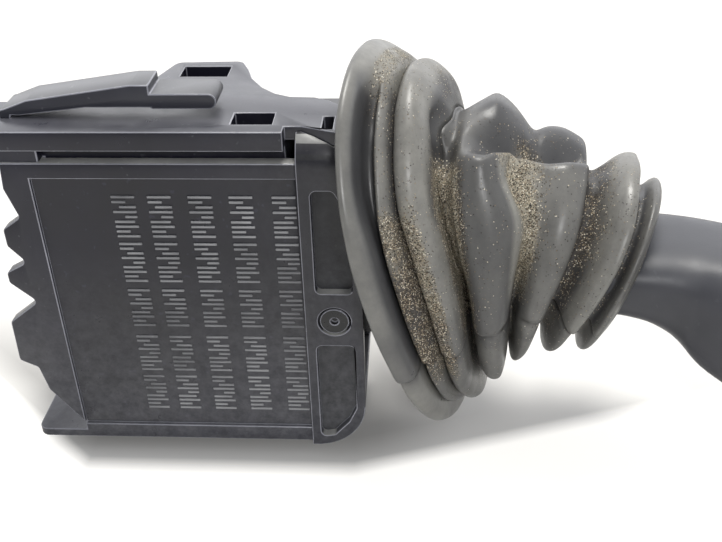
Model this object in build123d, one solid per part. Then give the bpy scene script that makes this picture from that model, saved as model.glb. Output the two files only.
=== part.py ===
from build123d import *
import math
import os

# Combination stalk switch of a steering column.
# Millimetres. +X runs out along the lever, -Y faces the driver, +Z is up.
# The origin is on the underside of the bottom plate, at the middle of the housing's depth.

# ---------------------------------------------------------------- driving dimensions
HOUSING_DEPTH = 20.0            # marked face to back of the rear cover
HOUSING_HEIGHT = 54.9           # bottom plate underside to top plate
HOUSING_RIGHT = 23.3            # joint between the housing and the nose frame
NOSE_LENGTH = 8.7               # nose frame along X
NOSE_PROUD = 1.0                # nose frame in front of the marked face
NOSE_DROP = 0.2                 # nose frame under the top plate's surface
NOSE_CORNER = 8.0
SHOULDER_R = 5.0                # round over the front shoulder
BACK_SHOULDER_R = 9.0
HOLLOW_Z = (9.0, 45.5)          # opening through the nose frame for the yoke
TONGUE = 4.0                    # tongues that locate the nose frame in the housing
TONGUE_THICK = 1.6
POCKET_LEFT = 1.5
POCKET_RIGHT = 1.4
POCKET_DEPTH = 1.4
POCKET_ROUND = 0.9
SIDE_WALL_X = -14.3             # wall that carries the terminal block

WALL = 2.0                      # moulded walls
NOSE_WALL = 2.5
PANEL_RECESS = 0.7              # depth of the marked panel
PANEL_MARGIN = 2.4              # frame above the marked panel
PANEL_FOOT = 1.3                # frame under the marked panel
BOTTOM_PLATE = 1.5
TOP_PLATE = 2.0
RAIL_HEIGHT = 2.9               # front rail of the top plate
GROOVE_HEIGHT = 1.8             # guide groove under the rail
GROOVE_DEPTH = 2.2
CHEEK_REACH = 8.3               # scalloped cheek beyond the side wall
CHEEK_ROUND = 0.8
PLATE_OVERHANG = 1.4            # top plate beyond the cheek
COVER_DROP = 1.5                # rear cover under the top of the front wall

PIVOT_INSET = 4.3               # up and down axis, from the nose frame's outer end
PIVOT_Z = 24.6
PIVOT_R = 1.6
RIVET_HEAD_R = 2.2
RIVET_HEAD = 1.3
RIVET_RING = 0.3                # ring gap round the rivet head
RIVET_DIMPLE_R = 0.6
HUB_R = 4.4
FLASH_REACH = 7.8               # pull axis, from the up and down axis
FLASH_PIN_R = 1.5
TILT_DEG = 8.0                  # swing to each side
PULL_DEG = 7.0

SHAFT_GAP = 0.05                # radial running clearance of pins and plungers
SEAT_GAP = 0.02                 # radial clearance of a pin that sits still
SLIDE_GAP = 0.2                 # clearance of the sliding carriers
CONTACT_GAP = 0.1               # bridge to fixed strip
SWING_GAP = 0.5                 # clearance of what swings past something
SOFT_GAP = 0.4                  # clearance of the rubber boot
SEAM_GAP = 0.12                 # open joint between two mouldings

YOKE_HALF = 5.5                 # half width of the yoke in Y
EYE_R = 4.0                     # lever core eye
EYE_BOTTOM = 22.4
EYE_TOP = 34.4
EAR = 3.2                       # thickness of a yoke ear
EAR_GAP = 0.3
YOKE_BLOCK = 8.5                # yoke body along X
TAIL_LENGTH = 20.0              # pull axis to the centre of the tail ball
TAIL_HALF = 1.0
TAIL_HEIGHT = 2.4
TAIL_DROP = 2.4                 # tail centre under the top of the eye
BALL_R = 1.5
ARM_DROP = 2.2                  # detent arm centre under the up and down axis
ARM_HALF = 2.6
ARM_WIDTH_HALF = 3.0
ARM_LENGTH = 19.7               # up and down axis to the arm's end
PLUNGER_R = 1.5
PLUNGER_REACH = 2.0
PLUNGER_BODY = 5.0
PLUNGER_TRAVEL = 1.5
DETENT_SPRING_LENGTH = 6.0
DETENT_WIRE_R = 0.22
NOTCH_R = 1.3
TRACK_GAP = 0.15
TRACK_DEPTH = 5.0
TRACK_HALF = 9.0                # half height of the detent track
PEG_REACH = 15.7                # up and down axis to the peg that drives the tilt carrier
PEG_R = 1.2

GUIDE_RIB = 1.4
RIB_HALF = 0.9                  # rib that guides the pull carrier

CARRIER = 2.5                   # tilt carrier thickness
CARRIER_FRONT = 4.0
CARRIER_HALF = 8.0              # half length along X
CARRIER_WALL = 2.4              # above and below its slot
BRIDGE = 1.0
STRIP = 0.4
STRIP_PITCH = 4.0
STRIP_HALF = 0.8
PULL_BOARD = 1.4
BOARD_THICK = 1.0
SHOE_HALF = 4.0                 # half length of the pull carrier along X
SHOE_WALL = 1.5
SHOE_HEADROOM = 2.2             # over the tail ball
SHOE_OVER = 10.0                # shoe's top over the tail
RETURN_SPRING_R = 1.7
RETURN_WIRE_R = 0.22

BLADE_PITCH = 4.2
BLADE_COUNT = 8
BLADE_WIDTH = 2.8
BLADE_THICK = 0.8
BLADE_OUT = 6.0
BLOCK_FLANGE = 2.6

LATCH_ROOT_X = -18.0
LATCH_TIP_X = 12.2
LATCH_FRONT = -5.0
LATCH_DEPTH = 5.8
LATCH_ROOT_R = 0.9
LATCH_LIFT = 1.2                # free height under the thumb pad
LATCH_DEG = 2.0
PAD_THICK = 2.2
PAD_LENGTH = 9.2
WEDGE_STEP = 1.3

LEVER_WALL = 1.8
LEVER_ROUND = 0.4               # corner radius, as a share of the smaller side
CORE_WIDTH = 9.0                # lever core inside the shells
CORE_HEIGHT = 5.6
COVER_SHARE = 0.36              # where the lever's back cover starts, as a share of its width
CROSS_PIN_R = 1.5
BOOT_WALL = 1.4

# ---------------------------------------------------------------- worked out from them
FRONT_Y = -HOUSING_DEPTH / 2
BACK_Y = HOUSING_DEPTH / 2
NOSE_RIGHT = HOUSING_RIGHT + NOSE_LENGTH
NOSE_FRONT = FRONT_Y - NOSE_PROUD
LEDGE_Z = HOUSING_HEIGHT - RAIL_HEIGHT - GROOVE_HEIGHT      # top of the body under the groove
CAVITY_FRONT = FRONT_Y + WALL
CAVITY_BACK = BACK_Y - WALL
CAVITY_TOP = LEDGE_Z - WALL
CAVITY_BOTTOM = BOTTOM_PLATE + WALL
CHEEK_TIP = SIDE_WALL_X - CHEEK_REACH
COVER_TOP = LEDGE_Z - COVER_DROP
PLATE_LEFT = CHEEK_TIP - PLATE_OVERHANG
PLATE_RIGHT = HOUSING_RIGHT - 1.6
PIVOT_X = NOSE_RIGHT - PIVOT_INSET
FLASH_X = PIVOT_X + FLASH_REACH
YOKE_FACE = FLASH_X - EYE_R - SWING_GAP
YOKE_LEFT = YOKE_FACE - YOKE_BLOCK
TAIL_X = FLASH_X - TAIL_LENGTH
TAIL_Z = EYE_TOP - TAIL_DROP
ARM_Z = PIVOT_Z - ARM_DROP
ARM_TIP = PIVOT_X - ARM_LENGTH
PEG_X = PIVOT_X - PEG_REACH
TILT_SIN = math.sin(math.radians(TILT_DEG))
PULL_SIN = math.sin(math.radians(PULL_DEG))
CARRIER_BACK = CARRIER_FRONT + CARRIER
STRIP_FRONT = CAVITY_BACK - STRIP
LATCH_BACK = LATCH_FRONT + LATCH_DEPTH
LATCH_ROOT_Z = HOUSING_HEIGHT + LATCH_ROOT_R * 0.35
CARRIER_HEIGHT = 2 * (PEG_R + SLIDE_GAP / 2 + CARRIER_WALL)
SHOE_BOTTOM = TAIL_Z - BALL_R - 1.9
SHOE_TOP = TAIL_Z + SHOE_OVER
SHOE_HALF_Y = BALL_R + SLIDE_GAP / 2 + SHOE_WALL
RIB_BOTTOM = SHOE_TOP - 2.0
TONGUES = [(10.0, 18.0), (RIB_BOTTOM - 6, RIB_BOTTOM - SWING_GAP)]
TERMINAL_Z = (BOTTOM_PLATE + LEDGE_Z) / 2
TERMINAL_HALF_Y = 6.9
TERMINAL_HALF_Z = BLADE_PITCH * BLADE_COUNT / 2 + 1.6
BOARD_X = SIDE_WALL_X + WALL + 2.6
PULL_BOARD_X = TAIL_X - SHOE_HALF - BRIDGE - CONTACT_GAP - STRIP
TRACK_REACH = ARM_LENGTH + PLUNGER_REACH
TRACK_RADIUS = math.hypot(TRACK_REACH, ARM_DROP)


def block(x, y, z):
    """A box from its low and high value along each axis."""
    size = Box(x[1] - x[0], y[1] - y[0], z[1] - z[0])
    return Pos((x[0] + x[1]) / 2, (y[0] + y[1]) / 2, (z[0] + z[1]) / 2) * size


def around(middle, half):
    """The low and high value of a span, from its middle and half its length."""
    return (middle - half, middle + half)


def prism_xz(outline, y_low, y_high):
    """Extrude an outline drawn in X and Z from y_low to y_high."""
    plane = Plane(origin=(0, y_high, 0), x_dir=(1, 0, 0), z_dir=(0, -1, 0))
    return extrude(plane * outline, amount=y_high - y_low, dir=plane.z_dir)


def prism_xy(outline, z_low, z_high):
    """Extrude an outline drawn in X and Y from z_low to z_high."""
    return extrude(Plane.XY.offset(z_low) * outline, amount=z_high - z_low, dir=(0, 0, 1))


def prism_yz(outline, x_low, x_high):
    """Extrude an outline drawn in Y and Z from x_low to x_high."""
    return extrude(Plane.YZ.offset(x_low) * outline, amount=x_high - x_low, dir=(1, 0, 0))


def rod(start, end, radius):
    """A round rod between two points."""
    axis = Vector(*end) - Vector(*start)
    plane = Plane(origin=start, z_dir=axis)
    return extrude(plane * Circle(radius), amount=axis.length)


def rod_y(x, z, radius, y):
    """A round rod along Y over a span."""
    return rod((x, y[0], z), (x, y[1], z), radius)


def coil(start, end, radius, wire_radius, turns):
    """A compression spring between two points."""
    axis = Vector(*end) - Vector(*start)
    plane = Plane(origin=start, z_dir=axis)
    length = axis.length - 2 * wire_radius
    path = Helix(pitch=length / turns, height=length, radius=radius)
    section = Plane(origin=path @ 0, z_dir=path % 0) * Circle(wire_radius)
    spring = sweep(section, path=path)
    return plane.location * Pos(0, 0, wire_radius) * spring


# ---------------------------------------------------------------- housing
# The cheek's outline as (beyond the side wall, above the bottom plate), from its top down.
CHEEK = [
    (3.8, 48.7),
    (4.1, 44.7),
    (2.7, 40.1),
    (5.6, 38.1),
    (5.6, 35.3),
    (3.3, 32.5),
    (6.7, 30.7),
    (6.7, 28.9),
    (3.1, 25.5),
    (8.1, 21.7),
    (CHEEK_REACH, 14.3),
    (5.6, 12.9),
    (4.7, 8.4),
]


def cheek(y, top):
    """The scalloped end wall over a span of Y, up to a height."""
    edge = [(SIDE_WALL_X - out, BOTTOM_PLATE + up) for out, up in CHEEK]
    foot = [(SIDE_WALL_X + 1.1, BOTTOM_PLATE), (SIDE_WALL_X + 4, BOTTOM_PLATE)]
    outline = Polygon((SIDE_WALL_X, LEDGE_Z), *edge, *foot, (SIDE_WALL_X + 4, LEDGE_Z), align=None)
    lobes = [v for v in outline.vertices() if v.X < SIDE_WALL_X - 2 and v.Y < LEDGE_Z - 2]
    wall = prism_xz(fillet(lobes, CHEEK_ROUND), y[0], y[1])
    return wall - block((CHEEK_TIP - 1, SIDE_WALL_X + 5), (y[0] - 1, y[1] + 1), (top, HOUSING_HEIGHT))


# The back edge of the top plate, with the tab that carries the first window.
TAB = [
    (-4.5, LATCH_BACK),
    (-1.5, 5.0),
    (0.2, 11.2),
    (1.9, 16.8),
    (12.2, 17.2),
    (13.7, 13.6),
    (14.8, 9.8),
    (16.8, 6.2),
    (19.0, 3.8),
    (21.4, 2.5),
    (25.0, 2.3),
    (27.0, 1.2),
    (29.5, -1.0),
    (30.3, -4.0),
]
SHOULDER_SEAM = [(30.3, -10.5), (24.2, -8.0)]
WINDOWS = [
    ((3.5, 10.8), (10.6, 15.0)),
    ((14.3, 20.0), (-7.3, -3.3)),
    ((26.9, 28.4), (-8.9, -4.5)),
]


def top_plate_outline():
    outline = Polygon(
        (PLATE_LEFT, FRONT_Y),
        (PLATE_LEFT, LATCH_BACK),
        *TAB,
        *SHOULDER_SEAM,
        (PLATE_RIGHT, SHOULDER_SEAM[1][1]),
        (PLATE_RIGHT, FRONT_Y),
        align=None,
    )
    tab_corners = [v for v in outline.vertices() if v.Y > 16]
    outline = fillet(tab_corners, 1.5)
    bends = [v for v in outline.vertices() if 14 < v.X < 30 and -2 < v.Y < 12]
    return fillet(bends, 0.9)


def top_plate():
    """The guide plate with its tab, front rail and windows."""
    plate = prism_xy(top_plate_outline(), HOUSING_HEIGHT - TOP_PLATE, HOUSING_HEIGHT)
    plate += block((PLATE_LEFT, PLATE_RIGHT), (FRONT_Y, FRONT_Y + GROOVE_DEPTH),
                   (HOUSING_HEIGHT - RAIL_HEIGHT, HOUSING_HEIGHT))
    x = (SIDE_WALL_X, PLATE_RIGHT)
    y = (FRONT_Y + GROOVE_DEPTH, CAVITY_BACK - SEAM_GAP)
    roof = block(x, y, (CAVITY_TOP, LEDGE_Z))
    web = prism_xy(top_plate_outline(), LEDGE_Z, HOUSING_HEIGHT - TOP_PLATE)
    return plate + roof + (web & block(x, y, (LEDGE_Z, HOUSING_HEIGHT)))


def make_housing_body():
    """Marked front wall, cheek, top and bottom plates and the terminal wall, in one moulding."""
    front = block((SIDE_WALL_X, HOUSING_RIGHT), (FRONT_Y, CAVITY_FRONT), (BOTTOM_PLATE, LEDGE_Z))
    body = front + cheek((FRONT_Y, CAVITY_FRONT), LEDGE_Z)
    foot = Rectangle(HOUSING_RIGHT - CHEEK_TIP, HOUSING_DEPTH)
    foot = Pos((HOUSING_RIGHT + CHEEK_TIP) / 2, 0) * foot
    left = [v for v in foot.vertices() if v.X < 0]
    body += prism_xy(fillet(left, 1.6), 0, BOTTOM_PLATE)
    body += block((SIDE_WALL_X, HOUSING_RIGHT), (CAVITY_FRONT, CAVITY_BACK - SEAM_GAP),
                  (BOTTOM_PLATE, CAVITY_BOTTOM))
    body += block((SIDE_WALL_X, SIDE_WALL_X + WALL), (CAVITY_FRONT, CAVITY_BACK - SEAM_GAP),
                  (BOTTOM_PLATE, LEDGE_Z))
    body += top_plate()
    body += guide_rib()
    body -= block((SIDE_WALL_X, HOUSING_RIGHT), (FRONT_Y - 1, FRONT_Y + PANEL_RECESS),
                  (BOTTOM_PLATE + PANEL_FOOT, LEDGE_Z - PANEL_MARGIN))
    body -= block((SIDE_WALL_X - 1, SIDE_WALL_X + WALL + 1), around(0, TERMINAL_HALF_Y),
                  around(TERMINAL_Z, TERMINAL_HALF_Z))
    for x, y in WINDOWS:
        body -= block(x, y, (CAVITY_TOP - 1, HOUSING_HEIGHT + 1))
    body -= rod_y(LATCH_ROOT_X, LATCH_ROOT_Z, LATCH_ROOT_R + SHAFT_GAP,
                  (LATCH_FRONT - SLIDE_GAP, LATCH_BACK + SLIDE_GAP))
    return body


def make_rear_cover():
    """Back wall with its own scalloped cheek, guide ribs for the tilt carrier and feet."""
    cover = block((SIDE_WALL_X, HOUSING_RIGHT - SEAM_GAP), (CAVITY_BACK, BACK_Y),
                  (BOTTOM_PLATE, COVER_TOP))
    cover += cheek((CAVITY_BACK, BACK_Y), COVER_TOP)
    for side in (-1, 1):
        inner = PEG_X + side * (CARRIER_HALF + SLIDE_GAP)
        outer = inner + side * GUIDE_RIB
        cover += block((min(inner, outer), max(inner, outer)), (CARRIER_FRONT, CAVITY_BACK),
                       around(ARM_Z, CARRIER_HEIGHT / 2 + PEG_REACH * TILT_SIN + 1))
    return cover - make_fixed_contacts()


def make_nose_frame():
    """Frame at the lever's end: rounded shoulder, two pockets and the rivet's bearing."""
    top = HOUSING_HEIGHT - NOSE_DROP
    outline = Polygon(
        (HOUSING_RIGHT, 0),
        (NOSE_RIGHT, 0),
        (NOSE_RIGHT, top),
        (HOUSING_RIGHT, top),
        align=None,
    )
    right = [v for v in outline.vertices() if v.X > HOUSING_RIGHT + 1]
    frame = prism_xz(fillet(right, NOSE_CORNER), NOSE_FRONT, BACK_Y)
    side = Polygon(
        (NOSE_FRONT, -1),
        (BACK_Y + 0.5, -1),
        (BACK_Y + 0.5, top),
        (NOSE_FRONT, top),
        align=None,
    )
    shoulder = [v for v in side.vertices() if v.X < 0 and v.Y > 1]
    side = fillet(shoulder, SHOULDER_R)
    back = [v for v in side.vertices() if v.X > BACK_Y and v.Y > 1]
    frame &= prism_yz(fillet(back, BACK_SHOULDER_R), HOUSING_RIGHT - 1, NOSE_RIGHT + 1)
    frame -= block((HOUSING_RIGHT - 1, NOSE_RIGHT + 1), (NOSE_FRONT + NOSE_WALL, CAVITY_BACK - 0.5),
                   HOLLOW_Z)
    seat = Polygon(
        (HOUSING_RIGHT - 1, BACK_Y + 1),
        (NOSE_RIGHT + 1, BACK_Y + 1),
        (NOSE_RIGHT + 1, SHOULDER_SEAM[0][1] - SEAM_GAP),
        (SHOULDER_SEAM[0][0], SHOULDER_SEAM[0][1] - SEAM_GAP),
        (SHOULDER_SEAM[1][0], SHOULDER_SEAM[1][1] - SEAM_GAP),
        (HOUSING_RIGHT - 1, SHOULDER_SEAM[1][1] - SEAM_GAP),
        align=None,
    )
    frame -= prism_xy(seat, HOUSING_HEIGHT - TOP_PLATE - SEAM_GAP, HOUSING_HEIGHT + 1)
    for z in TONGUES:
        frame += block((HOUSING_RIGHT, HOUSING_RIGHT + 1.2),
                       (NOSE_FRONT + NOSE_WALL - 0.5, CAVITY_FRONT + TONGUE_THICK), z)
        frame += block((HOUSING_RIGHT - TONGUE, HOUSING_RIGHT),
                       (CAVITY_FRONT + SEAM_GAP, CAVITY_FRONT + TONGUE_THICK), z)
    frame -= nose_pockets()
    frame -= rod_y(PIVOT_X, PIVOT_Z, PIVOT_R + SEAT_GAP, (NOSE_FRONT - 1, BACK_Y + 1))
    frame -= rod_y(PIVOT_X, PIVOT_Z, RIVET_HEAD_R + RIVET_RING,
                   (NOSE_FRONT - 1, NOSE_FRONT + RIVET_HEAD))
    return frame


def nose_pockets():
    """The long pocket above the rivet and the D-shaped one below it."""
    left = HOUSING_RIGHT + POCKET_LEFT
    right = NOSE_RIGHT - POCKET_RIGHT
    upper = Polygon(
        (left + 0.3, PIVOT_Z + 5.0),
        (right, PIVOT_Z + 5.0),
        (right, HOUSING_HEIGHT - 13),
        (right - 2.4, HOUSING_HEIGHT - 8.4),
        (left + 0.3, HOUSING_HEIGHT - 8.4),
        align=None,
    )
    lower = Polygon(
        (left, 1.8),
        (left + 2.2, 2.2),
        (right - 1.2, 5.0),
        (right, 7.7),
        (right, PIVOT_Z - 4.5),
        (left, PIVOT_Z - 4.5),
        align=None,
    )
    depth = (NOSE_FRONT - 1, NOSE_FRONT + POCKET_DEPTH)
    upper = fillet(upper.vertices(), POCKET_ROUND)
    lower = fillet(lower.vertices(), POCKET_ROUND)
    return prism_xz(upper, *depth) + prism_xz(lower, *depth)


def make_yoke_pivot_pin():
    """Rivet that carries the yoke, with a round head in its counterbore."""
    pin = rod_y(PIVOT_X, PIVOT_Z, PIVOT_R, (NOSE_FRONT + RIVET_HEAD, BACK_Y))
    pin += rod_y(PIVOT_X, PIVOT_Z, RIVET_HEAD_R, (NOSE_FRONT + 0.1, NOSE_FRONT + RIVET_HEAD))
    pin -= rod_y(PIVOT_X, PIVOT_Z, RIVET_DIMPLE_R, (NOSE_FRONT, NOSE_FRONT + 0.9))
    return pin


# ---------------------------------------------------------------- terminals and fixed contacts
def make_terminal_block():
    """Moulded block that carries the blades, flanged against the side wall."""
    height = around(TERMINAL_Z, TERMINAL_HALF_Z - SEAM_GAP)
    part = block((SIDE_WALL_X, BOARD_X), around(0, TERMINAL_HALF_Y - SEAM_GAP), height)
    part += block((SIDE_WALL_X - BLOCK_FLANGE, SIDE_WALL_X),
                  (CAVITY_FRONT + SEAM_GAP, CAVITY_BACK - SEAM_GAP),
                  around(TERMINAL_Z, TERMINAL_HALF_Z + 1.2))
    return part - make_blade_terminals()


def make_blade_terminals():
    """A row of flat blades along Z."""
    span = (SIDE_WALL_X - BLOCK_FLANGE - BLADE_OUT + 1.2, BOARD_X + BOARD_THICK)
    blades = []
    for index in range(BLADE_COUNT):
        z = TERMINAL_Z + (index - (BLADE_COUNT - 1) / 2) * BLADE_PITCH
        blades.append(block(span, around(0, BLADE_THICK / 2), around(z, BLADE_WIDTH / 2)))
    return Compound(children=blades)


def make_contact_board():
    """Board behind the terminal block that joins the blades to the strips."""
    board = block((BOARD_X, BOARD_X + BOARD_THICK), (CAVITY_FRONT + SEAM_GAP, STRIP_FRONT - SEAM_GAP),
                  (CAVITY_BOTTOM, CAVITY_TOP))
    return board - make_blade_terminals()


def make_fixed_contacts():
    """Contact strips on the rear cover and on the pull board."""
    strips = []
    for index in (-1, 0, 1):
        z = ARM_Z + index * STRIP_PITCH
        strips.append(block((BOARD_X + BOARD_THICK, PEG_X + CARRIER_HALF - 2),
                            (STRIP_FRONT, CAVITY_BACK), around(z, STRIP_HALF)))
    for index in (0, 1):
        z = TAIL_Z + 1.5 + index * STRIP_PITCH
        strips.append(block((PULL_BOARD_X, PULL_BOARD_X + STRIP), around(0, 6), around(z, STRIP_HALF)))
    return Compound(children=strips)


def make_pull_board():
    """Small board under the top wall, between the front wall and the cover, with the pull contacts."""
    return block((PULL_BOARD_X - PULL_BOARD, PULL_BOARD_X),
                 (CAVITY_FRONT + SEAM_GAP, CAVITY_BACK - SEAM_GAP),
                 (ARM_Z + TRACK_HALF + SWING_GAP, CAVITY_TOP))


def make_detent_track():
    """Curved track with three notches for the plunger."""
    face = PIVOT_X - TRACK_REACH
    track = block((face - TRACK_DEPTH, face + 2.2), (CAVITY_FRONT, CARRIER_FRONT - SLIDE_GAP),
                  around(ARM_Z, TRACK_HALF))
    track -= rod_y(PIVOT_X, PIVOT_Z, TRACK_RADIUS + TRACK_GAP, (CAVITY_FRONT - 1, CARRIER_FRONT + 1))
    start = math.degrees(math.atan2(-ARM_DROP, -TRACK_REACH))
    for step in (-1, 0, 1):
        angle = math.radians(start + step * TILT_DEG)
        x = PIVOT_X + TRACK_RADIUS * math.cos(angle)
        z = PIVOT_Z + TRACK_RADIUS * math.sin(angle)
        track -= rod_y(x, z, NOTCH_R, (CAVITY_FRONT - 1, CARRIER_FRONT + 1))
    return track


# ---------------------------------------------------------------- release latch
def make_release_latch():
    """Springy arm: round root, rising wedge, step and thumb pad."""
    pad_left = LATCH_TIP_X - PAD_LENGTH
    low = HOUSING_HEIGHT + LATCH_LIFT
    pad_top = low + PAD_THICK
    wedge_top = pad_top + WEDGE_STEP
    outline = Polygon(
        (LATCH_ROOT_X, LATCH_ROOT_Z + LATCH_ROOT_R),
        (LATCH_ROOT_X + 3.5, LATCH_ROOT_Z + LATCH_ROOT_R + 1.3),
        (pad_left - 2.6, wedge_top),
        (pad_left, wedge_top),
        (pad_left, pad_top),
        (LATCH_TIP_X, pad_top),
        (LATCH_TIP_X, low),
        (pad_left, low),
        (pad_left, low + 0.2),
        (LATCH_ROOT_X + 11.7, low + 0.2),
        (LATCH_ROOT_X + 2.2, HOUSING_HEIGHT + 0.25),
        (LATCH_ROOT_X, LATCH_ROOT_Z),
        align=None,
    )
    tip = [v for v in outline.vertices() if v.X > LATCH_TIP_X - 0.1]
    outline = fillet(tip, PAD_THICK / 2 - 0.02)
    slope = [v for v in outline.vertices() if v.X < pad_left - 2 and v.Y > low + 0.9]
    outline = fillet(slope, 1.6)
    arm = prism_xz(outline, LATCH_FRONT, LATCH_BACK)
    return arm + rod_y(LATCH_ROOT_X, LATCH_ROOT_Z, LATCH_ROOT_R, (LATCH_FRONT, LATCH_BACK))


# ---------------------------------------------------------------- yoke and detent
def make_tilt_yoke():
    """Rocks on the rivet; holds the lever in its fork and the plunger in its arm."""
    top = EYE_TOP + EAR_GAP + EAR
    bottom = EYE_BOTTOM - EAR_GAP - EAR
    width = around(0, YOKE_HALF)
    yoke = block((YOKE_LEFT, YOKE_FACE), width, (bottom, top))
    for low in (bottom, EYE_TOP + EAR_GAP):
        yoke += block((YOKE_FACE, FLASH_X), width, (low, low + EAR))
        yoke += rod((FLASH_X, 0, low), (FLASH_X, 0, low + EAR), YOKE_HALF)
    yoke += rod_y(PIVOT_X, PIVOT_Z, HUB_R,
                  (NOSE_FRONT + NOSE_WALL + SLIDE_GAP, CAVITY_BACK - 0.5 - SLIDE_GAP))
    yoke += block((ARM_TIP, YOKE_LEFT + 1), around(0, ARM_WIDTH_HALF), around(ARM_Z, ARM_HALF))
    yoke += rod_y(PEG_X, ARM_Z, PEG_R, (0, CARRIER_BACK - 0.2))
    yoke -= rod((FLASH_X, 0, EYE_BOTTOM - EAR_GAP), (FLASH_X, 0, EYE_TOP + EAR_GAP),
                EYE_R + SWING_GAP)
    yoke -= block((YOKE_LEFT - 1, YOKE_FACE + 1),
                  (-TAIL_HALF - SWING_GAP, TAIL_HALF + SWING_GAP + (FLASH_X - YOKE_LEFT) * PULL_SIN),
                  around(TAIL_Z, TAIL_HEIGHT / 2 + SWING_GAP))
    yoke -= rod_y(PIVOT_X, PIVOT_Z, PIVOT_R + SHAFT_GAP, (NOSE_FRONT, BACK_Y))
    yoke -= rod((FLASH_X, 0, bottom - 1), (FLASH_X, 0, top + 1), FLASH_PIN_R + SEAT_GAP)
    bore_end = ARM_TIP + PLUNGER_BODY + DETENT_SPRING_LENGTH
    return yoke - rod((ARM_TIP - 1, 0, ARM_Z), (bore_end, 0, ARM_Z), PLUNGER_R + SHAFT_GAP)


def make_flash_pivot_pin():
    """Upright pin through the fork and the lever core."""
    low = EYE_BOTTOM - EAR_GAP - EAR - 0.5
    return rod((FLASH_X, 0, low), (FLASH_X, 0, EYE_TOP + EAR_GAP + EAR + 0.5), FLASH_PIN_R)


def make_detent_plunger():
    """Round-nosed plunger in the yoke's arm."""
    nose = ARM_TIP - PLUNGER_REACH + PLUNGER_R
    plunger = rod((nose, 0, ARM_Z), (ARM_TIP + PLUNGER_BODY, 0, ARM_Z), PLUNGER_R)
    return plunger + Pos(nose, 0, ARM_Z) * Sphere(PLUNGER_R)


def make_detent_spring():
    start = ARM_TIP + PLUNGER_BODY
    return coil((start + 0.05, 0, ARM_Z), (start + DETENT_SPRING_LENGTH - 0.05, 0, ARM_Z),
                PLUNGER_R - DETENT_WIRE_R - 0.1, DETENT_WIRE_R, 6)


# ---------------------------------------------------------------- contact carriers
def make_tilt_carrier():
    """Plate that the yoke's peg moves up and down along the rear cover."""
    plate = block(around(PEG_X, CARRIER_HALF), (CARRIER_FRONT, CARRIER_BACK),
                  around(ARM_Z, CARRIER_HEIGHT / 2))
    slot = block(around(PEG_X, PEG_R + 0.8), (CARRIER_FRONT - 1, CARRIER_BACK + 1),
                 around(ARM_Z, PEG_R + SLIDE_GAP / 2))
    return plate - slot


def make_tilt_bridges():
    """Two bridges on the tilt carrier that run on the fixed strips."""
    bridges = []
    for side in (-1, 1):
        x = PEG_X + side * CARRIER_HALF * 0.6
        bridges.append(block(around(x, 1.0), (CARRIER_BACK, STRIP_FRONT - CONTACT_GAP),
                             around(ARM_Z, CARRIER_HEIGHT / 2 - 0.6)))
    return Compound(children=bridges)


def make_pull_carrier():
    """Shoe that the lever's tail ball moves across the housing."""
    shoe = block(around(TAIL_X, SHOE_HALF), around(0, SHOE_HALF_Y), (SHOE_BOTTOM, SHOE_TOP))
    shoe -= block((TAIL_X - BALL_R - 1.3, TAIL_X + SHOE_HALF + 1), around(0, BALL_R + SLIDE_GAP / 2),
                  (SHOE_BOTTOM - 1, TAIL_Z + BALL_R + SHOE_HEADROOM))
    shoe -= block(around(TAIL_X, RIB_HALF + SLIDE_GAP), around(0, SHOE_HALF_Y + 1),
                  (RIB_BOTTOM - SLIDE_GAP, SHOE_TOP + 1))
    return shoe


def guide_rib():
    """Rib of the housing under its top wall, on which the pull carrier slides."""
    return block(around(TAIL_X, RIB_HALF), (CAVITY_FRONT + SEAM_GAP, CAVITY_BACK - SEAM_GAP),
                 (RIB_BOTTOM, CAVITY_TOP))


def make_pull_bridge():
    """Bridge on the pull carrier, facing the pull board."""
    left = PULL_BOARD_X + STRIP + CONTACT_GAP
    return block((left, TAIL_X - SHOE_HALF), around(0, 2.0), (TAIL_Z, TAIL_Z + 1.5 + STRIP_PITCH + 1.2))


def make_return_spring():
    """Pushes the pull carrier, and through it the lever, back to rest."""
    z = TAIL_Z + BALL_R + SHOE_HEADROOM + RETURN_SPRING_R + SLIDE_GAP
    return coil((TAIL_X, SHOE_HALF_Y + 0.05, z), (TAIL_X, CAVITY_BACK - 0.05, z),
                RETURN_SPRING_R - RETURN_WIRE_R, RETURN_WIRE_R, 4)


# ---------------------------------------------------------------- lever
# Stations of the lever: centre X, Y and Z, turn towards the driver in degrees, width and height.
LEVER = [
    (60.0, -1.8, 29.8, 0, 19.0, 10.0),
    (70.0, -2.0, 29.7, 0, 20.0, 10.8),
    (77.5, -2.5, 28.4, 4, 20.5, 13.6),
    (83.2, -4.2, 27.0, 25, 20.5, 16.5),
    (88.0, -7.8, 25.8, 48, 20.0, 19.5),
    (97.0, -17.5, 24.4, 48, 18.0, 21.5),
    (112.0, -32.5, 22.8, 41, 14.5, 22.0),
    (130.0, -45.0, 21.6, 28, 12.0, 21.0),
    (152.0, -54.0, 20.8, 18, 10.5, 19.5),
    (172.0, -59.5, 20.2, 14, 9.0, 17.5),
    (177.0, -60.7, 20.0, 14, 5.5, 13.0),
]


def station_plane(station):
    x, y, z, turn = station[:4]
    turn = math.radians(turn)
    return Plane(origin=(x, y, z), x_dir=(math.sin(turn), math.cos(turn), 0),
                 z_dir=(math.cos(turn), -math.sin(turn), 0))


def lever_loft(stations, trim=0.0):
    """A smooth body through the stations, smaller all round by trim."""
    sections = []
    for station in stations:
        width = station[4] - 2 * trim
        height = station[5] - 2 * trim
        radius = LEVER_ROUND * min(width, height)
        sections.append(station_plane(station) * RectangleRounded(width, height, radius))
    return loft(sections)


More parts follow.
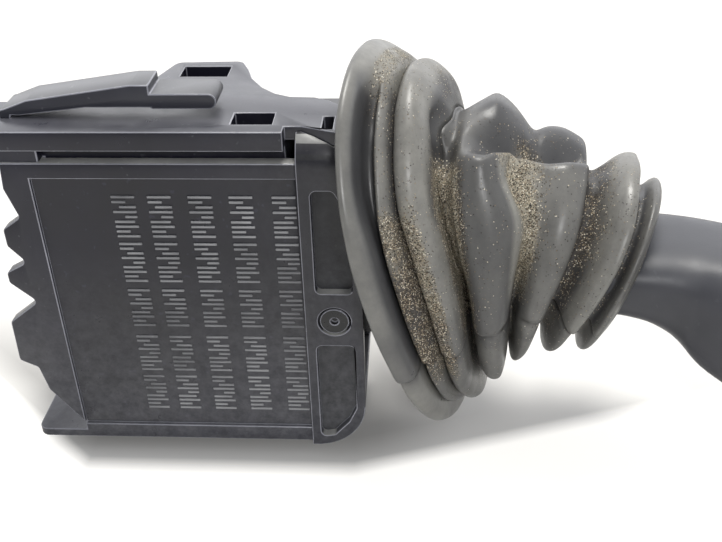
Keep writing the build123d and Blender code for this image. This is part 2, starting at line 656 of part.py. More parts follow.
def cover_zone(gap):
    """What lies behind the joint between the two lever shells."""
    sections = []
    for station in LEVER:
        width = station[4]
        low = COVER_SHARE * width + gap
        high = 0.5 * width + 6
        strip = Pos((low + high) / 2, 0) * Rectangle(high - low, station[5] + 12)
        sections.append(station_plane(station) * strip)
    return loft(sections)


def lever_skin():
    """The hollow lever, closed at its tip and open at its neck."""
    hollow = lever_loft(LEVER, LEVER_WALL)
    tip = LEVER[-1][0] - 2 * LEVER_WALL
    hollow -= block((tip, tip + 10), around(LEVER[-1][1], 20), around(LEVER[-1][2], 20))
    return lever_loft(LEVER) - hollow


def cross_pin_bore(radius):
    x, y, z, turn, width, height = LEVER[2]
    return rod((x, y, z - height / 2 - 1), (x, y, z + height / 2 + 1), radius)


def make_lever_front_shell():
    return lever_skin() - cover_zone(0) - cross_pin_bore(CROSS_PIN_R)


def make_lever_back_cover():
    return lever_skin() & cover_zone(SEAM_GAP)


def make_lever_cross_pin():
    x, y, z, turn, width, height = LEVER[2]
    return rod((x, y, z - height / 2 + 0.4), (x, y, z + height / 2 - 0.4), CROSS_PIN_R)


def make_lever_core():
    """Eye on the flash pin, tail with its ball, and the shaft inside the shells."""
    core = rod((FLASH_X, 0, EYE_BOTTOM), (FLASH_X, 0, EYE_TOP), EYE_R)
    core += block((TAIL_X, FLASH_X), around(0, TAIL_HALF), around(TAIL_Z, TAIL_HEIGHT / 2))
    core += Pos(TAIL_X, 0, TAIL_Z) * Sphere(BALL_R)
    middle = (EYE_BOTTOM + EYE_TOP) / 2
    shaft = [(FLASH_X + 1, 0, middle, 0, 6.4, 10.0), (50.0, -0.6, middle + 0.6, 0, 7.4, 7.6)]
    for x, y, z, turn, width, height in LEVER[:4]:
        shaft.append((x, y, z, turn, CORE_WIDTH, CORE_HEIGHT))
    sections = []
    for station in shaft:
        sections.append(station_plane(station) * RectangleRounded(station[4], station[5], 1.5))
    core += loft(sections)
    core -= rod((FLASH_X, 0, EYE_BOTTOM - 1), (FLASH_X, 0, EYE_TOP + 1), FLASH_PIN_R + SHAFT_GAP)
    return core - cross_pin_bore(CROSS_PIN_R + SEAT_GAP)


# ---------------------------------------------------------------- rubber boot
# Rings of the boot: centre X, Y and Z, half height, half width, lean (top towards -X)
# and turn (front towards -X) in degrees. Ridges and grooves take turns.
BOOT = [
    (39.4, -1.0, 33.0, 31.6, 23.5, 14, 13),
    (42.6, -1.0, 32.6, 31.0, 23.0, 14, 13),
    (44.6, -1.0, 32.4, 26.2, 18.6, 13, 12),
    (46.6, -1.0, 33.8, 27.6, 18.5, 13, 11),
    (49.6, -1.0, 33.2, 21.0, 15.0, 8, 7),
    (52.4, -1.0, 33.2, 23.0, 17.5, 3, 3),
    (55.8, -1.0, 32.3, 17.8, 14.0, -4, 4),
    (59.2, -1.0, 31.8, 18.5, 15.5, -11, 5),
    (62.7, -1.0, 31.2, 14.6, 13.2, -16, 7),
    (66.2, -1.0, 30.6, 16.3, 14.6, -20, 9),
    (68.7, -1.2, 29.8, 12.6, 12.6, -20, 12),
    (71.2, -1.3, 29.2, 13.0, 13.2, -19, 14),
    (72.8, -1.4, 29.0, 11.8, 12.2, -19, 14),
]


def boot_loft(rings, trim):
    """A body through the rings, smaller all round by trim."""
    sections = []
    for x, y, z, half_height, half_width, lean, turn in rings:
        lean = math.radians(lean)
        turn = math.radians(turn)
        across = Vector(math.sin(turn), math.cos(turn), 0)
        up = Vector(-math.sin(lean), 0, math.cos(lean))
        plane = Plane(origin=(x, y, z), x_dir=across, z_dir=across.cross(up))
        sections.append(plane * Ellipse(half_width - trim, half_height - trim))
    return loft(sections, ruled=True)


def make_gaiter():
    """Concertina boot, open towards the housing, closing on the lever's neck."""
    boot = boot_loft(BOOT, 0) - boot_loft(BOOT[:-1], BOOT_WALL)
    return boot - lever_loft(LEVER[:3], -SOFT_GAP)


PARTS = {
    "housing_body": make_housing_body,
    "rear_cover": make_rear_cover,
    "nose_frame": make_nose_frame,
    "yoke_pivot_pin": make_yoke_pivot_pin,
    "terminal_block": make_terminal_block,
    "blade_terminals": make_blade_terminals,
    "contact_board": make_contact_board,
    "fixed_contacts": make_fixed_contacts,
    "pull_board": make_pull_board,
    "detent_track": make_detent_track,
    "release_latch": make_release_latch,
    "tilt_yoke": make_tilt_yoke,
    "flash_pivot_pin": make_flash_pivot_pin,
    "detent_plunger": make_detent_plunger,
    "detent_spring": make_detent_spring,
    "tilt_carrier": make_tilt_carrier,
    "tilt_bridges": make_tilt_bridges,
    "pull_carrier": make_pull_carrier,
    "pull_bridge": make_pull_bridge,
    "return_spring": make_return_spring,
    "lever_core": make_lever_core,
    "lever_front_shell": make_lever_front_shell,
    "lever_back_cover": make_lever_back_cover,
    "lever_cross_pin": make_lever_cross_pin,
    "gaiter": make_gaiter,
}

os.makedirs("parts", exist_ok=True)
for name, make in PARTS.items():
    export_step(make(), f"parts/{name}.step")
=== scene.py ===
import math
from functools import partial

import bmesh
import bpy
from mathutils import Matrix, Vector
from mathutils import noise as field


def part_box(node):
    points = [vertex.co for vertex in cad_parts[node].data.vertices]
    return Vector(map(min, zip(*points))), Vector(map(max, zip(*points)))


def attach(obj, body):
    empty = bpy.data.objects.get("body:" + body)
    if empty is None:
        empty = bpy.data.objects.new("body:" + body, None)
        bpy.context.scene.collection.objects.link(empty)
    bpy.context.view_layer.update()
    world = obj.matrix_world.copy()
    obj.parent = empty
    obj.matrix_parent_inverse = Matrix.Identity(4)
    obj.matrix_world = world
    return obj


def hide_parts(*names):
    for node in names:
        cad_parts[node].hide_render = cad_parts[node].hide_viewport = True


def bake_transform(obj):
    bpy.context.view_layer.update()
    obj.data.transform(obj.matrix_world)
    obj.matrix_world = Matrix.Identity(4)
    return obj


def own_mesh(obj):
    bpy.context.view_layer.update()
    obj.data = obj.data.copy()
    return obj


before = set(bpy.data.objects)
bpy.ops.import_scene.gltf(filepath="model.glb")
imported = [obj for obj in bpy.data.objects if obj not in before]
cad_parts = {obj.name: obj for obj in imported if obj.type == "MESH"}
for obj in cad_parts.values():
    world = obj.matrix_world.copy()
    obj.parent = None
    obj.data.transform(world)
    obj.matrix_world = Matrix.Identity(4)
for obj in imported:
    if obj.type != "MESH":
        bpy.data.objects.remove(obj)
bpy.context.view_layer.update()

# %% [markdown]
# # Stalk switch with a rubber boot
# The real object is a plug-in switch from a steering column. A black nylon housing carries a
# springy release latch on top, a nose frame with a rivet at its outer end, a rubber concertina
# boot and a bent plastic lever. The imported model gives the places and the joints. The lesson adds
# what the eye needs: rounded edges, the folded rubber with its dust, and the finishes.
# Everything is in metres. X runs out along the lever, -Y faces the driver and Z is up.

MM = 0.001
WELD = 0.01 * MM


def deselect():
    """Leave nothing selected, so that the next operator acts only on its own piece."""
    for item in bpy.context.selected_objects:
        item.select_set(False)


def activate(piece):
    """Make a piece the only selected and the active one."""
    deselect()
    piece.select_set(True)
    bpy.context.view_layer.objects.active = piece


def apply_modifier(piece, kind, **settings):
    """Add a modifier with its settings and apply it to the mesh."""
    activate(piece)
    modifier = piece.modifiers.new(kind.lower(), kind)
    for key, value in settings.items():
        setattr(modifier, key, value)
    bpy.ops.object.modifier_apply(modifier=modifier.name)


def smooth_up_to(piece, degrees):
    """Shade a piece smooth, except across edges sharper than an angle."""
    activate(piece)
    bpy.ops.object.shade_smooth_by_angle(angle=math.radians(degrees))


def settle(piece):
    """Put the piece's place into its mesh, so that its object sits at the origin."""
    activate(piece)
    bpy.ops.object.transform_apply(location=True, rotation=True, scale=True)
    print(piece.name, len(piece.data.polygons), "faces")


# %% [markdown]
# ## Camera
# The housing's straight edges fix the view: it is seen from above at 32.5 degrees, from its middle,
# with a slight roll. A short lens at 17 cm gives the strong perspective of a close hand-held view.

# %% Camera
LENS = 47.37
CAMERA_AT = Vector((39.43, -126.12, 107.19)) * MM
CAMERA_TURNS = ((3.75, "Z"), (57.5, "X"), (-1.53, "Z"))
camera_data = bpy.data.cameras.new("studio_camera")
camera_data.lens = LENS
camera_data.sensor_width = 36
camera_data.clip_start = 5 * MM
camera = bpy.data.objects.new("studio_camera", camera_data)
bpy.context.scene.collection.objects.link(camera)
stand = Matrix.Translation(CAMERA_AT)
for degrees, axis in CAMERA_TURNS:
    stand = stand @ Matrix.Rotation(math.radians(degrees), 4, axis)
camera.matrix_world = stand
bpy.context.scene.camera = camera
print("camera at", tuple(round(c, 4) for c in camera.location))


# %% [markdown]
# ## Finishes
# Every finish is a small network of nodes on Object coordinates, so that the pattern sits on the
# piece at a real scale in millimetres. Moulded black plastic has a fine spark-eroded grain, which
# softens its gloss. Rubber is greyer and duller, with a bloom. Dust lies where it can settle: each
# boot mesh carries an attribute that says how much, and noise breaks it into grains.
# One function adds a node. A MapRange node's inputs 0 to 4 are the value, the range it comes from
# and the range it goes to. A Mix node's inputs 0, 6 and 7 are the share and the two colours.

# %% Colour and node helpers
def linear(code):
    """A colour written as sRGB hex, as the linear values that the shader wants."""
    channels = [int(code[i:i + 2], 16) / 255 for i in (1, 3, 5)]
    return tuple(c / 12.92 if c <= 0.04045 else ((c + 0.055) / 1.055) ** 2.4 for c in channels) + (1.0,)


def add_node(tree, kind, inputs=None, output=0, stops=(), **settings):
    """Add a node with its settings, and return one of its outputs for the next node.

    An input is a value, a colour in hex or the output that feeds it. Stops are for a colour ramp.
    """
    node = tree.nodes.new("ShaderNode" + kind)
    for key, value in settings.items():
        setattr(node, key, value)
    for key, value in (inputs or {}).items():
        if isinstance(value, bpy.types.NodeSocket):
            tree.links.new(value, node.inputs[key])
        else:
            node.inputs[key].default_value = linear(value) if isinstance(value, str) else value
    for index, (position, code) in enumerate(stops):
        if index == len(node.color_ramp.elements):
            node.color_ramp.elements.new(1.0)
        node.color_ramp.elements[index].position = position
        node.color_ramp.elements[index].color = linear(code)
    return node.outputs[output] if node.outputs else node


def empty_network(tree):
    """Clear a network, and return the function that adds a node to it."""
    tree.nodes.clear()
    return partial(add_node, tree)


def new_material(name):
    """A material, the function that adds a node to it, and the place on the piece."""
    material = bpy.data.materials.new(name)
    material.use_nodes = True
    add = empty_network(material.node_tree)
    return material, add, add("TexCoord", output="Object")


def grain(size_mm):
    """The noise scale whose coarsest grain is about that many millimetres across."""
    return 0.5 / (size_mm * MM)


# %% [markdown]
# ### Moulded black nylon and acetal
# Glass-filled nylon from a spark-eroded mould: near black, satin, with a grain of about 0.15 mm and
# a faint cloud of handling marks. Up-facing faces hold a thin film of dust, which greys them: the
# surface normal's Z sets how much, and that stays on the object whatever the view. Some are paler
# low down and towards the lever, in patches. One function makes them all, because the same process
# makes them all and only colour, gloss, grain, dust, wear and paling differ.

# %% Moulded plastics
def moulded_plastic(name, body, worn, gloss, grain_mm=0.15, grain_depth=0.012, film=0.0, film_tone="#7d7c78",
                    paler_low_down=0.0):
    material, add, place = new_material(name)
    cloud, pitted, smear = (
        add("TexNoise", {"Vector": place, "Scale": grain(size), "Detail": detail, "Roughness": rough})
        for size, detail, rough in ((9.0, 4.0, 0.6), (grain_mm, 2.0, 0.6), (2.6, 5.0, 0.7)))
    clouded = add("MapRange", {0: cloud, 1: 0.35, 2: 0.68})
    colour = add("Mix", {0: clouded, 6: body, 7: worn}, 2, data_type="RGBA")
    if film:
        up = add("SeparateXYZ", {0: add("NewGeometry", output="Normal")}, "Z")
        lies = add("MapRange", {0: up, 1: 0.35, 2: 0.95, 4: film})
        patches = add("MapRange", {0: smear, 1: 0.3, 2: 0.7, 3: 0.55})
        patchy = add("Math", {0: lies, 1: patches}, operation="MULTIPLY")
        flecks = add("TexNoise", {"Vector": place, "Scale": grain(0.5), "Detail": 1.0, "Roughness": 0.6})
        specks = add("MapRange", {0: flecks, 1: 0.70, 2: 0.76, 4: 0.35 * film})
        dusty = add("Math", {0: patchy, 1: specks}, operation="ADD")
        colour = add("Mix", {0: dusty, 6: colour, 7: film_tone}, 2, data_type="RGBA")
    # Paler low down and towards the lever, in patches.
    if paler_low_down:
        along, height = (add("SeparateXYZ", {0: place}, axis) for axis in "XZ")
        low_down = add("MapRange", {0: height, 1: 36 * MM, 2: 6 * MM, 4: 1.5 * paler_low_down})
        far_on = add("MapRange", {0: along, 1: 8 * MM, 2: 28 * MM, 4: 0.5 * paler_low_down})
        both = add("Math", {0: low_down, 1: far_on}, operation="ADD")
        marks = add("TexNoise", {"Vector": place, "Scale": grain(0.9), "Detail": 6.0, "Roughness": 0.75})
        in_patches = add("MapRange", {0: marks, 1: 0.35, 2: 0.65, 3: 0.45, 4: 1.25})
        paling = add("Math", {0: both, 1: in_patches}, operation="MULTIPLY")
        colour = add("Mix", {0: paling, 6: colour, 7: "#8c8d92"}, 2, data_type="RGBA")
    satin = add("MapRange", {0: smear, 1: 0.3, 2: 0.75, 3: gloss - 0.07, 4: gloss + 0.10})
    relief = add("Bump", {"Height": pitted, "Distance": grain_depth * MM, "Strength": 0.6})
    shader = add("BsdfPrincipled", {"Base Color": colour, "Roughness": satin, "Normal": relief, "IOR": 1.46})
    add("OutputMaterial", {"Surface": shader})
    return material


HOUSING_NYLON = moulded_plastic("nylon_moulded_black", "#0e0e1a", "#181826", 0.33,
                                film=0.38, film_tone="#7b7c81", paler_low_down=0.15)
PANEL_NYLON = moulded_plastic("nylon_moulded_black_fine", "#080813", "#0f0f1e", 0.32,
                              film=0.18, film_tone="#6f7090", paler_low_down=0.13)
# The edge finish is a painted highlight: paler and glossier than the body, on every bevel.
EDGE_HIGHLIGHT_NYLON = moulded_plastic("nylon_moulded_edge_painted_highlight", "#6d6e76", "#92939c", 0.26,
                             film=0.35, film_tone="#a0a1a4")
LATCH_NYLON = moulded_plastic("nylon_moulded_latch", "#2a2b33", "#35363e", 0.36, film=0.55, film_tone="#868788")
NOSE_NYLON = moulded_plastic("nylon_moulded_nose", "#0d0d17", "#161622", 0.34, film=0.25, paler_low_down=0.10)
LEVER_NYLON = moulded_plastic("nylon_grained_lever", "#35363b", "#3e3f45", 0.43, 0.22, 0.016,
                              film=0.12, film_tone="#8d8f92")
BLACK_ACETAL = moulded_plastic("acetal_moulded_black", "#121316", "#1a1b1e", 0.30, film=0.1)
INNER_ACETAL = moulded_plastic("acetal_moulded_natural", "#d6d0bf", "#c6bfac", 0.38)
TERMINAL_POLYESTER = moulded_plastic("polyester_moulded_black", "#1b1c1d", "#232425", 0.45)
print("moulded plastics made")


# %% [markdown]
# ### Metals
# The blades and strips are stamped from brass, drawn along their length, so the gloss has fine lines
# and the colour dulls in patches. The pins are ground steel and the springs are drawn wire.

# %% Brass and steel
def drawn_metal(name, bright, dull, gloss, along):
    material, add, place = new_material(name)
    stretch = tuple(0.08 if axis == along else 1.0 for axis in range(3))
    drawn_out = add("Mapping", {"Vector": place, "Scale": stretch})
    lines, tarnish = (
        add("TexNoise", {"Vector": vector, "Scale": grain(size), "Detail": detail, "Roughness": rough})
        for vector, size, detail, rough in ((drawn_out, 0.12, 2.0, 0.6), (place, 2.0, 5.0, 0.65)))
    colour = add("ValToRGB", {"Fac": tarnish}, stops=[(0.35, bright), (0.72, dull)])
    satin = add("MapRange", {0: lines, 1: 0.3, 2: 0.7, 3: gloss - 0.06, 4: gloss + 0.14})
    relief = add("Bump", {"Height": lines, "Distance": 0.006 * MM, "Strength": 0.5})
    shader = add("BsdfPrincipled", {"Base Color": colour, "Roughness": satin, "Normal": relief, "Metallic": 1.0})
    add("OutputMaterial", {"Surface": shader})
    return material


BRASS = drawn_metal("brass_stamped", "#cfa85a", "#9a7a3c", 0.28, 0)
GROUND_STEEL = drawn_metal("steel_ground", "#b9b9ba", "#97979a", 0.24, 2)
SPRING_STEEL = drawn_metal("steel_drawn_wire", "#a8a8ac", "#7f8084", 0.30, 1)
print("metals made")


# %% [markdown]
# ### Rubber with dust and painted shade
# Moulded EPDM rubber is a mid grey-black with a soft bloom where it has been flexed. Road dust and
# fine sand sit in its grooves: cream, brown and black grains of about 0.17 mm over a tan film. The
# attribute "dust" says where sand lies. The bloom attribute says where the rubber has gone pale, and
# also paints light and shade: less bloom low down, more on faces that get less light. "crease" is
# painted shade, dark along the parting groove, low in one groove and at the bottom of the folds.
# Cells of a Voronoi pattern, one for each grain, get a random colour and come and go with the amount of dust.

# %% Dusty rubber with painted shade
def dusty_rubber_with_shade(name):
    material, add, place = new_material(name)
    dust, bloom_and_shade, crease = (
        add("Attribute", output="Fac", attribute_name=title) for title in ("dust", "bloom_and_shade", "crease"))
    cloud, edge, blotches, pores = (
        add("TexNoise", {"Vector": place, "Scale": grain(size), "Detail": detail, "Roughness": rough})
        for size, detail, rough in ((7.0, 4.0, 0.6), (1.6, 5.0, 0.7), (2.8, 6.0, 0.72), (0.25, 3.0, 0.6)))

    # Clean rubber, then its pale bloom, with less of it where shade is painted, then the painted shade of the
    # creases.
    clean = add("ValToRGB", {"Fac": cloud}, stops=[(0.30, "#2d2e32"), (0.52, "#343539"), (0.75, "#3b3c3f")])
    mottle = add("MapRange", {0: blotches, 1: 0.30, 2: 0.70, 3: 0.58, 4: 1.20})
    clouded = add("MapRange", {0: cloud, 1: 0.25, 2: 0.75, 3: 0.82, 4: 1.05})
    uneven = add("Math", {0: mottle, 1: clouded}, operation="MULTIPLY")
    haze_and_shade = add("Math", {0: bloom_and_shade, 1: uneven}, operation="MULTIPLY")
    hazed_and_shaded = add("Mix", {0: haze_and_shade, 6: clean, 7: "#84837e"}, 2, data_type="RGBA")
    crease_shade = add("Math", {0: crease, 1: 0.8}, operation="MULTIPLY")
    crease_shaded = add("Mix", {0: crease_shade, 6: hazed_and_shaded, 7: "#1b1b1c"}, 2, data_type="RGBA")

    # A film of dust, paler where the rubber is.
    broken = add("MapRange", {0: edge, 1: 0.32, 2: 0.60, 3: 0.35, 4: 1.4})
    amount = add("Math", {0: dust, 1: broken}, operation="MULTIPLY", use_clamp=True)
    paler = add("Math", {0: bloom_and_shade, 1: bloom_and_shade}, operation="MULTIPLY")
    soil = add("Mix", {0: paler, 6: "#4e463b", 7: "#9c947f"}, 2, data_type="RGBA")
    thin = add("Math", {0: amount, 1: 0.7}, operation="MULTIPLY")
    film = add("Mix", {0: thin, 6: crease_shaded, 7: soil}, 2, data_type="RGBA")

    # Round grains of sand, one to a cell, more of them where there is more dust.
    distance = add("TexVoronoi", {"Vector": place, "Scale": 1 / (0.17 * MM)})
    tone, chance = (add("SeparateColor", {0: distance.node.outputs["Color"]}, channel)
                    for channel in ("Red", "Green"))
    sand = add("ValToRGB", {"Fac": tone}, stops=[
        (0.0, "#141210"), (0.30, "#352e27"), (0.52, "#6d604f"), (0.76, "#a5977f"), (1.0, "#e2dbca")])
    filled = add("Math", {0: amount, 1: 0.95}, operation="MULTIPLY")
    threshold = add("Math", {0: 1.0, 1: filled}, operation="SUBTRACT")
    above = add("Math", {0: chance, 1: threshold}, operation="SUBTRACT")
    present = add("MapRange", {0: above, 2: 0.04})
    rounded = add("MapRange", {0: distance, 1: 0.48, 2: 0.66, 3: 1.0, 4: 0.0})
    grains = add("Math", {0: present, 1: rounded}, operation="MULTIPLY")
    colour = add("Mix", {0: grains, 6: film, 7: sand}, 2, data_type="RGBA")

    matt = add("MapRange", {0: amount, 2: 0.5, 4: 0.45})
    sheen = add("MapRange", {0: edge, 1: 0.3, 2: 0.7, 3: 0.27, 4: 0.40})
    satin = add("Math", {0: sheen, 1: matt}, operation="ADD")
    skin = add("Bump", {"Height": pores, "Distance": 0.015 * MM, "Strength": 0.5})
    relief = add("Bump", {"Height": grains, "Distance": 0.16 * MM, "Strength": 0.8, "Normal": skin})
    shader = add("BsdfPrincipled", {"Base Color": colour, "Roughness": satin, "Normal": relief, "IOR": 1.5})
    add("OutputMaterial", {"Surface": shader})
    return material


BOOT_RUBBER = dusty_rubber_with_shade("rubber_moulded_dusty_painted_shade")
print("rubber made")

# %% [markdown]
# ## Housing, cover, nose frame, latch and rivet
# The real ones are injection mouldings with small radii on every edge, which is where the light
# catches. They could be modelled again, but the imported solids already have the exact shape. So a
# copy of each is welded, its flat faces are merged, and its sharp edges get a bevel of about 0.15 mm.
# The bevels get a paler, glossier finish: a painted highlight, so that each edge shows as a bright line.

# %% Soften a copy of a imported solid
FLAT_DEG = 0.6
SHARP_DEG = 35


def own_copy(node, name, materials, flatten=False):
    """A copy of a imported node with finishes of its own, its loose triangles and flat faces merged."""
    piece = bpy.data.objects.new(name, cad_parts[node].data.copy())
    bpy.context.scene.collection.objects.link(piece)
    piece.data.materials.clear()
    for material in materials:
        piece.data.materials.append(material)
    activate(piece)
    bpy.ops.object.mode_set(mode="EDIT")
    bpy.ops.mesh.select_all(action="SELECT")
    bpy.ops.mesh.remove_doubles(threshold=WELD)
    if flatten:
        bpy.ops.mesh.dissolve_limited(angle_limit=math.radians(FLAT_DEG))
    bpy.ops.object.mode_set(mode="OBJECT")
    return piece


def softened(node, name, body, material, edge_mm):
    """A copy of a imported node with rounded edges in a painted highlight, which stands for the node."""
    piece = own_copy(node, name, [material, EDGE_HIGHLIGHT_NYLON], flatten=True)
    apply_modifier(piece, "BEVEL", width=edge_mm * MM, segments=2, limit_method="ANGLE",
                   angle_limit=math.radians(SHARP_DEG), use_clamp_overlap=False, loop_slide=True, material=1)
    smooth_up_to(piece, 32)
    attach(piece, body)
    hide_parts(node)
    print(name, len(piece.data.polygons), "faces")
    return piece


housing = softened("housing_body", "housing_moulding", "housing", HOUSING_NYLON, 0.15)
softened("rear_cover", "rear_cover_moulding", "housing", HOUSING_NYLON, 0.16)
nose = softened("nose_frame", "nose_moulding", "housing", NOSE_NYLON, 0.15)
softened("release_latch", "latch_moulding", "latch", LATCH_NYLON, 0.18)
softened("yoke_pivot_pin", "rivet_pin", "housing", BLACK_ACETAL, 0.16)


# %% The marked panel has a finer finish than the frame round it
def add_finish(piece, material):
    """Give a piece one more finish, and return its number for the faces that take it."""
    piece.data.materials.append(material)
    return len(piece.data.materials) - 1


BODY_FINISH, EDGE_HIGHLIGHT_FINISH = 0, 1
PANEL_PLANE = -9.3 * MM
PANEL_FINISH = add_finish(housing, PANEL_NYLON)
for face in housing.data.polygons:
    if abs(face.center.y - PANEL_PLANE) < 0.05 * MM and face.normal.y < -0.9:
        face.material_index = PANEL_FINISH
print("panel faces", sum(face.material_index == PANEL_FINISH for face in housing.data.polygons))

# %% The nose's pockets: matt floors, darker as painted shade, and dust on the walls that face up
POCKET_SHADE_NYLON = moulded_plastic("nylon_moulded_pocket_floor_painted_shade", "#090a10", "#101118", 0.5, film=0.12, paler_low_down=0.12)
LEDGE_NYLON = moulded_plastic("nylon_moulded_dusty_ledge", "#3a3b3f", "#55565a", 0.4,
                              film=0.9, film_tone="#a9a9a6")
NOSE_FRONT = min(vertex.co.y for vertex in nose.data.vertices)
POCKET_FINISH = add_finish(nose, POCKET_SHADE_NYLON)
WALL_FINISH = add_finish(nose, LEDGE_NYLON)
for face in nose.data.polygons:
    x, y, z = face.center / MM
    depth = y - NOSE_FRONT / MM
    beside_boot = x > 30.5 and 26 < z < 46
    if 0.25 < depth < 3 and face.normal.y < -0.9:
        face.material_index = POCKET_FINISH
    elif 0.05 < depth < 2.5 and face.normal.z > 0.7:
        face.material_index = WALL_FINISH
    elif beside_boot and face.material_index == EDGE_HIGHLIGHT_FINISH:
        face.material_index = BODY_FINISH
print("pocket faces", [sum(face.material_index == finish for face in nose.data.polygons)
                       for finish in (POCKET_FINISH, WALL_FINISH)])

# %% Dust in the groove under the rail
TAIL_END_OF_SLOT = -12.6
GROOVE_FINISH = add_finish(housing, LEDGE_NYLON)
for face in housing.data.polygons:
    x, y, z = face.center / MM
    floor_of_groove = face.normal.z > 0.7 and 49.0 < z < 52.6 and y < -6.0
    back_of_groove = face.normal.y < -0.7 and y > -8.9 and 50.0 < z < 53.6
    if x > TAIL_END_OF_SLOT and face.material_index == BODY_FINISH and (floor_of_groove or back_of_groove):
        face.material_index = GROOVE_FINISH
print("groove faces", sum(face.material_index == GROOVE_FINISH for face in housing.data.polygons))


# %% [markdown]
# ## End of the ledge under the rail
# The real ledge runs the whole length of the rail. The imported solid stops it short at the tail, so a
# bar closes the slot there. It could be a new solid, but it carries nothing: it only shuts out light.
# A cube is stretched to the bar's size, and its edges are rounded.

# %% Ledge end
def bar(centre, size):
    """A cube stretched to a size in millimetres, at its place in metres."""
    deselect()
    bpy.ops.mesh.primitive_cube_add(size=1, location=centre)
    piece = bpy.context.object
    piece.scale = [side * MM for side in size]
    bpy.ops.object.transform_apply(location=True, rotation=True, scale=True)
    return piece


LEDGE_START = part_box("housing_body")[0].x + 0.3 * MM
LEDGE_END = TAIL_END_OF_SLOT * MM
ledge_end = bar(((LEDGE_START + LEDGE_END) / 2, -6.0 * MM, 51.5 * MM), ((LEDGE_END - LEDGE_START) / MM, 7.2, 2.9))
ledge_end.name = "rail_ledge_end"
ledge_end.data.materials.append(HOUSING_NYLON)
ledge_end.data.materials.append(EDGE_HIGHLIGHT_NYLON)
apply_modifier(ledge_end, "BEVEL", width=0.2 * MM, segments=2, limit_method="ANGLE", material=1)
settle(ledge_end)
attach(ledge_end, "housing")
print("ledge end from", round(LEDGE_START / MM, 1), "to", round(LEDGE_END / MM, 1), "mm")

# %% [markdown]
# ## Raised marks of the panel
# The real panel is full of raised strokes. Here it gets a plain scale: five columns of five groups,
# each group nine raised bars of mixed length. Each bar is half sunk in the panel, and all are joined
# before one bevel rounds their edges.

# %% Panel marks
# The bars are much paler than the panel: a painted highlight on the raised strokes.
MARK_HIGHLIGHT_NYLON = moulded_plastic("nylon_moulded_marks_painted_highlight", "#5c5d61", "#9a9b9e", 0.34, film=0.5, film_tone="#a8a8a6")
MARK_COLUMNS = [-1.7, 3.5, 9.3, 15.1, 21.2]
MARK_ROWS = [9.3, 17.1, 25.7, 33.8, 41.5]
MARK_SHARES = [1.0, 0.60, 1.0, 0.86, 0.52, 1.0, 0.72, 0.60, 1.0]
MARK_LONG = 3.4
MARK_THICK = 0.36
MARK_PITCH = 0.80
MARK_PROUD = 0.18
bars = []
for column in MARK_COLUMNS:
    for row in MARK_ROWS:
        for index, share in enumerate(MARK_SHARES):
            length = MARK_LONG * share
            side = -1 if index % 2 else 1
            x = column + side * (MARK_LONG - length) / 2
            z = row + (index - len(MARK_SHARES) // 2) * MARK_PITCH
            bars.append(bar((x * MM, PANEL_PLANE, z * MM), (length, 2 * MARK_PROUD, MARK_THICK)))
deselect()
for piece in bars:
    piece.select_set(True)
bpy.context.view_layer.objects.active = bars[0]
bpy.ops.object.join()
marks = bpy.context.object
marks.name = "panel_scale_marks"
apply_modifier(marks, "BEVEL", width=0.09 * MM, segments=2, limit_method="ANGLE")
marks.data.materials.append(MARK_HIGHLIGHT_NYLON)
settle(marks)
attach(marks, "housing")


# %% [markdown]
# ## Lofting ring by ring
# The boot and the lever are both tubes whose section changes along them. By hand one adds a circle,
# extrudes its edge, puts the new ring in its place, and goes on to the next. `lofted` does just that.

# %% Extrude a circle along rings
def lofted(name, rings, closed=False):
    """A skin through rings of points; also returns which vertex got which point, for attributes."""
    deselect()
    bpy.ops.mesh.primitive_circle_add(vertices=len(rings[0]), radius=MM)
    piece = bpy.context.object
    piece.name = name
    for vertex, point in zip(piece.data.vertices, rings[0]):
        vertex.co = point
    bpy.ops.object.mode_set(mode="EDIT")
    bpy.ops.mesh.select_all(action="SELECT")
    if closed:
        bpy.ops.mesh.edge_face_add()
        bpy.ops.mesh.select_mode(type="EDGE")
        bpy.ops.mesh.poke()
        bpy.ops.mesh.select_all(action="DESELECT")
        bpy.ops.mesh.select_non_manifold()
    order = list(range(len(rings[0])))
    placed = list(order)
    for ring in rings[1:]:
        bpy.ops.mesh.extrude_region_move()
        grid = bmesh.from_edit_mesh(piece.data)
        grid.verts.ensure_lookup_table()
        above = {}
        for vertex in grid.verts:
            if vertex.select:
                for edge in vertex.link_edges:
                    other = edge.other_vert(vertex)
                    if not other.select:
                        above[other.index] = vertex.index
        order = [above[index] for index in order]
        for index, point in zip(order, ring):
            grid.verts[index].co = point
        bmesh.update_edit_mesh(piece.data)
        placed += order
    if closed:
        bpy.ops.mesh.edge_face_add()
        bpy.ops.mesh.poke()
    bpy.ops.mesh.select_all(action="SELECT")
    bpy.ops.mesh.normals_make_consistent(inside=False)
    bpy.ops.object.mode_set(mode="OBJECT")
    return piece, placed


# %% [markdown]
# ## Rubber boot
# The real boot is moulded in soft rubber: a wide lip that fits the column shroud, a thin belt, a
# two-sided fold, two fat rolls, a ring and a collar that grips the lever. On top the two rolls are
# pulled flat into humps with a hollow in front of them, above the rolls' rounded ends.
# It could be sculpted, or draped by simulation, but it is a moulding that keeps its shape. So it is
# lofted from rings that lean and turn along a bent middle line, and each point of a ring is moved in
# or out by a table of folds and by soft functions for the humps, the hollow and the parting step.

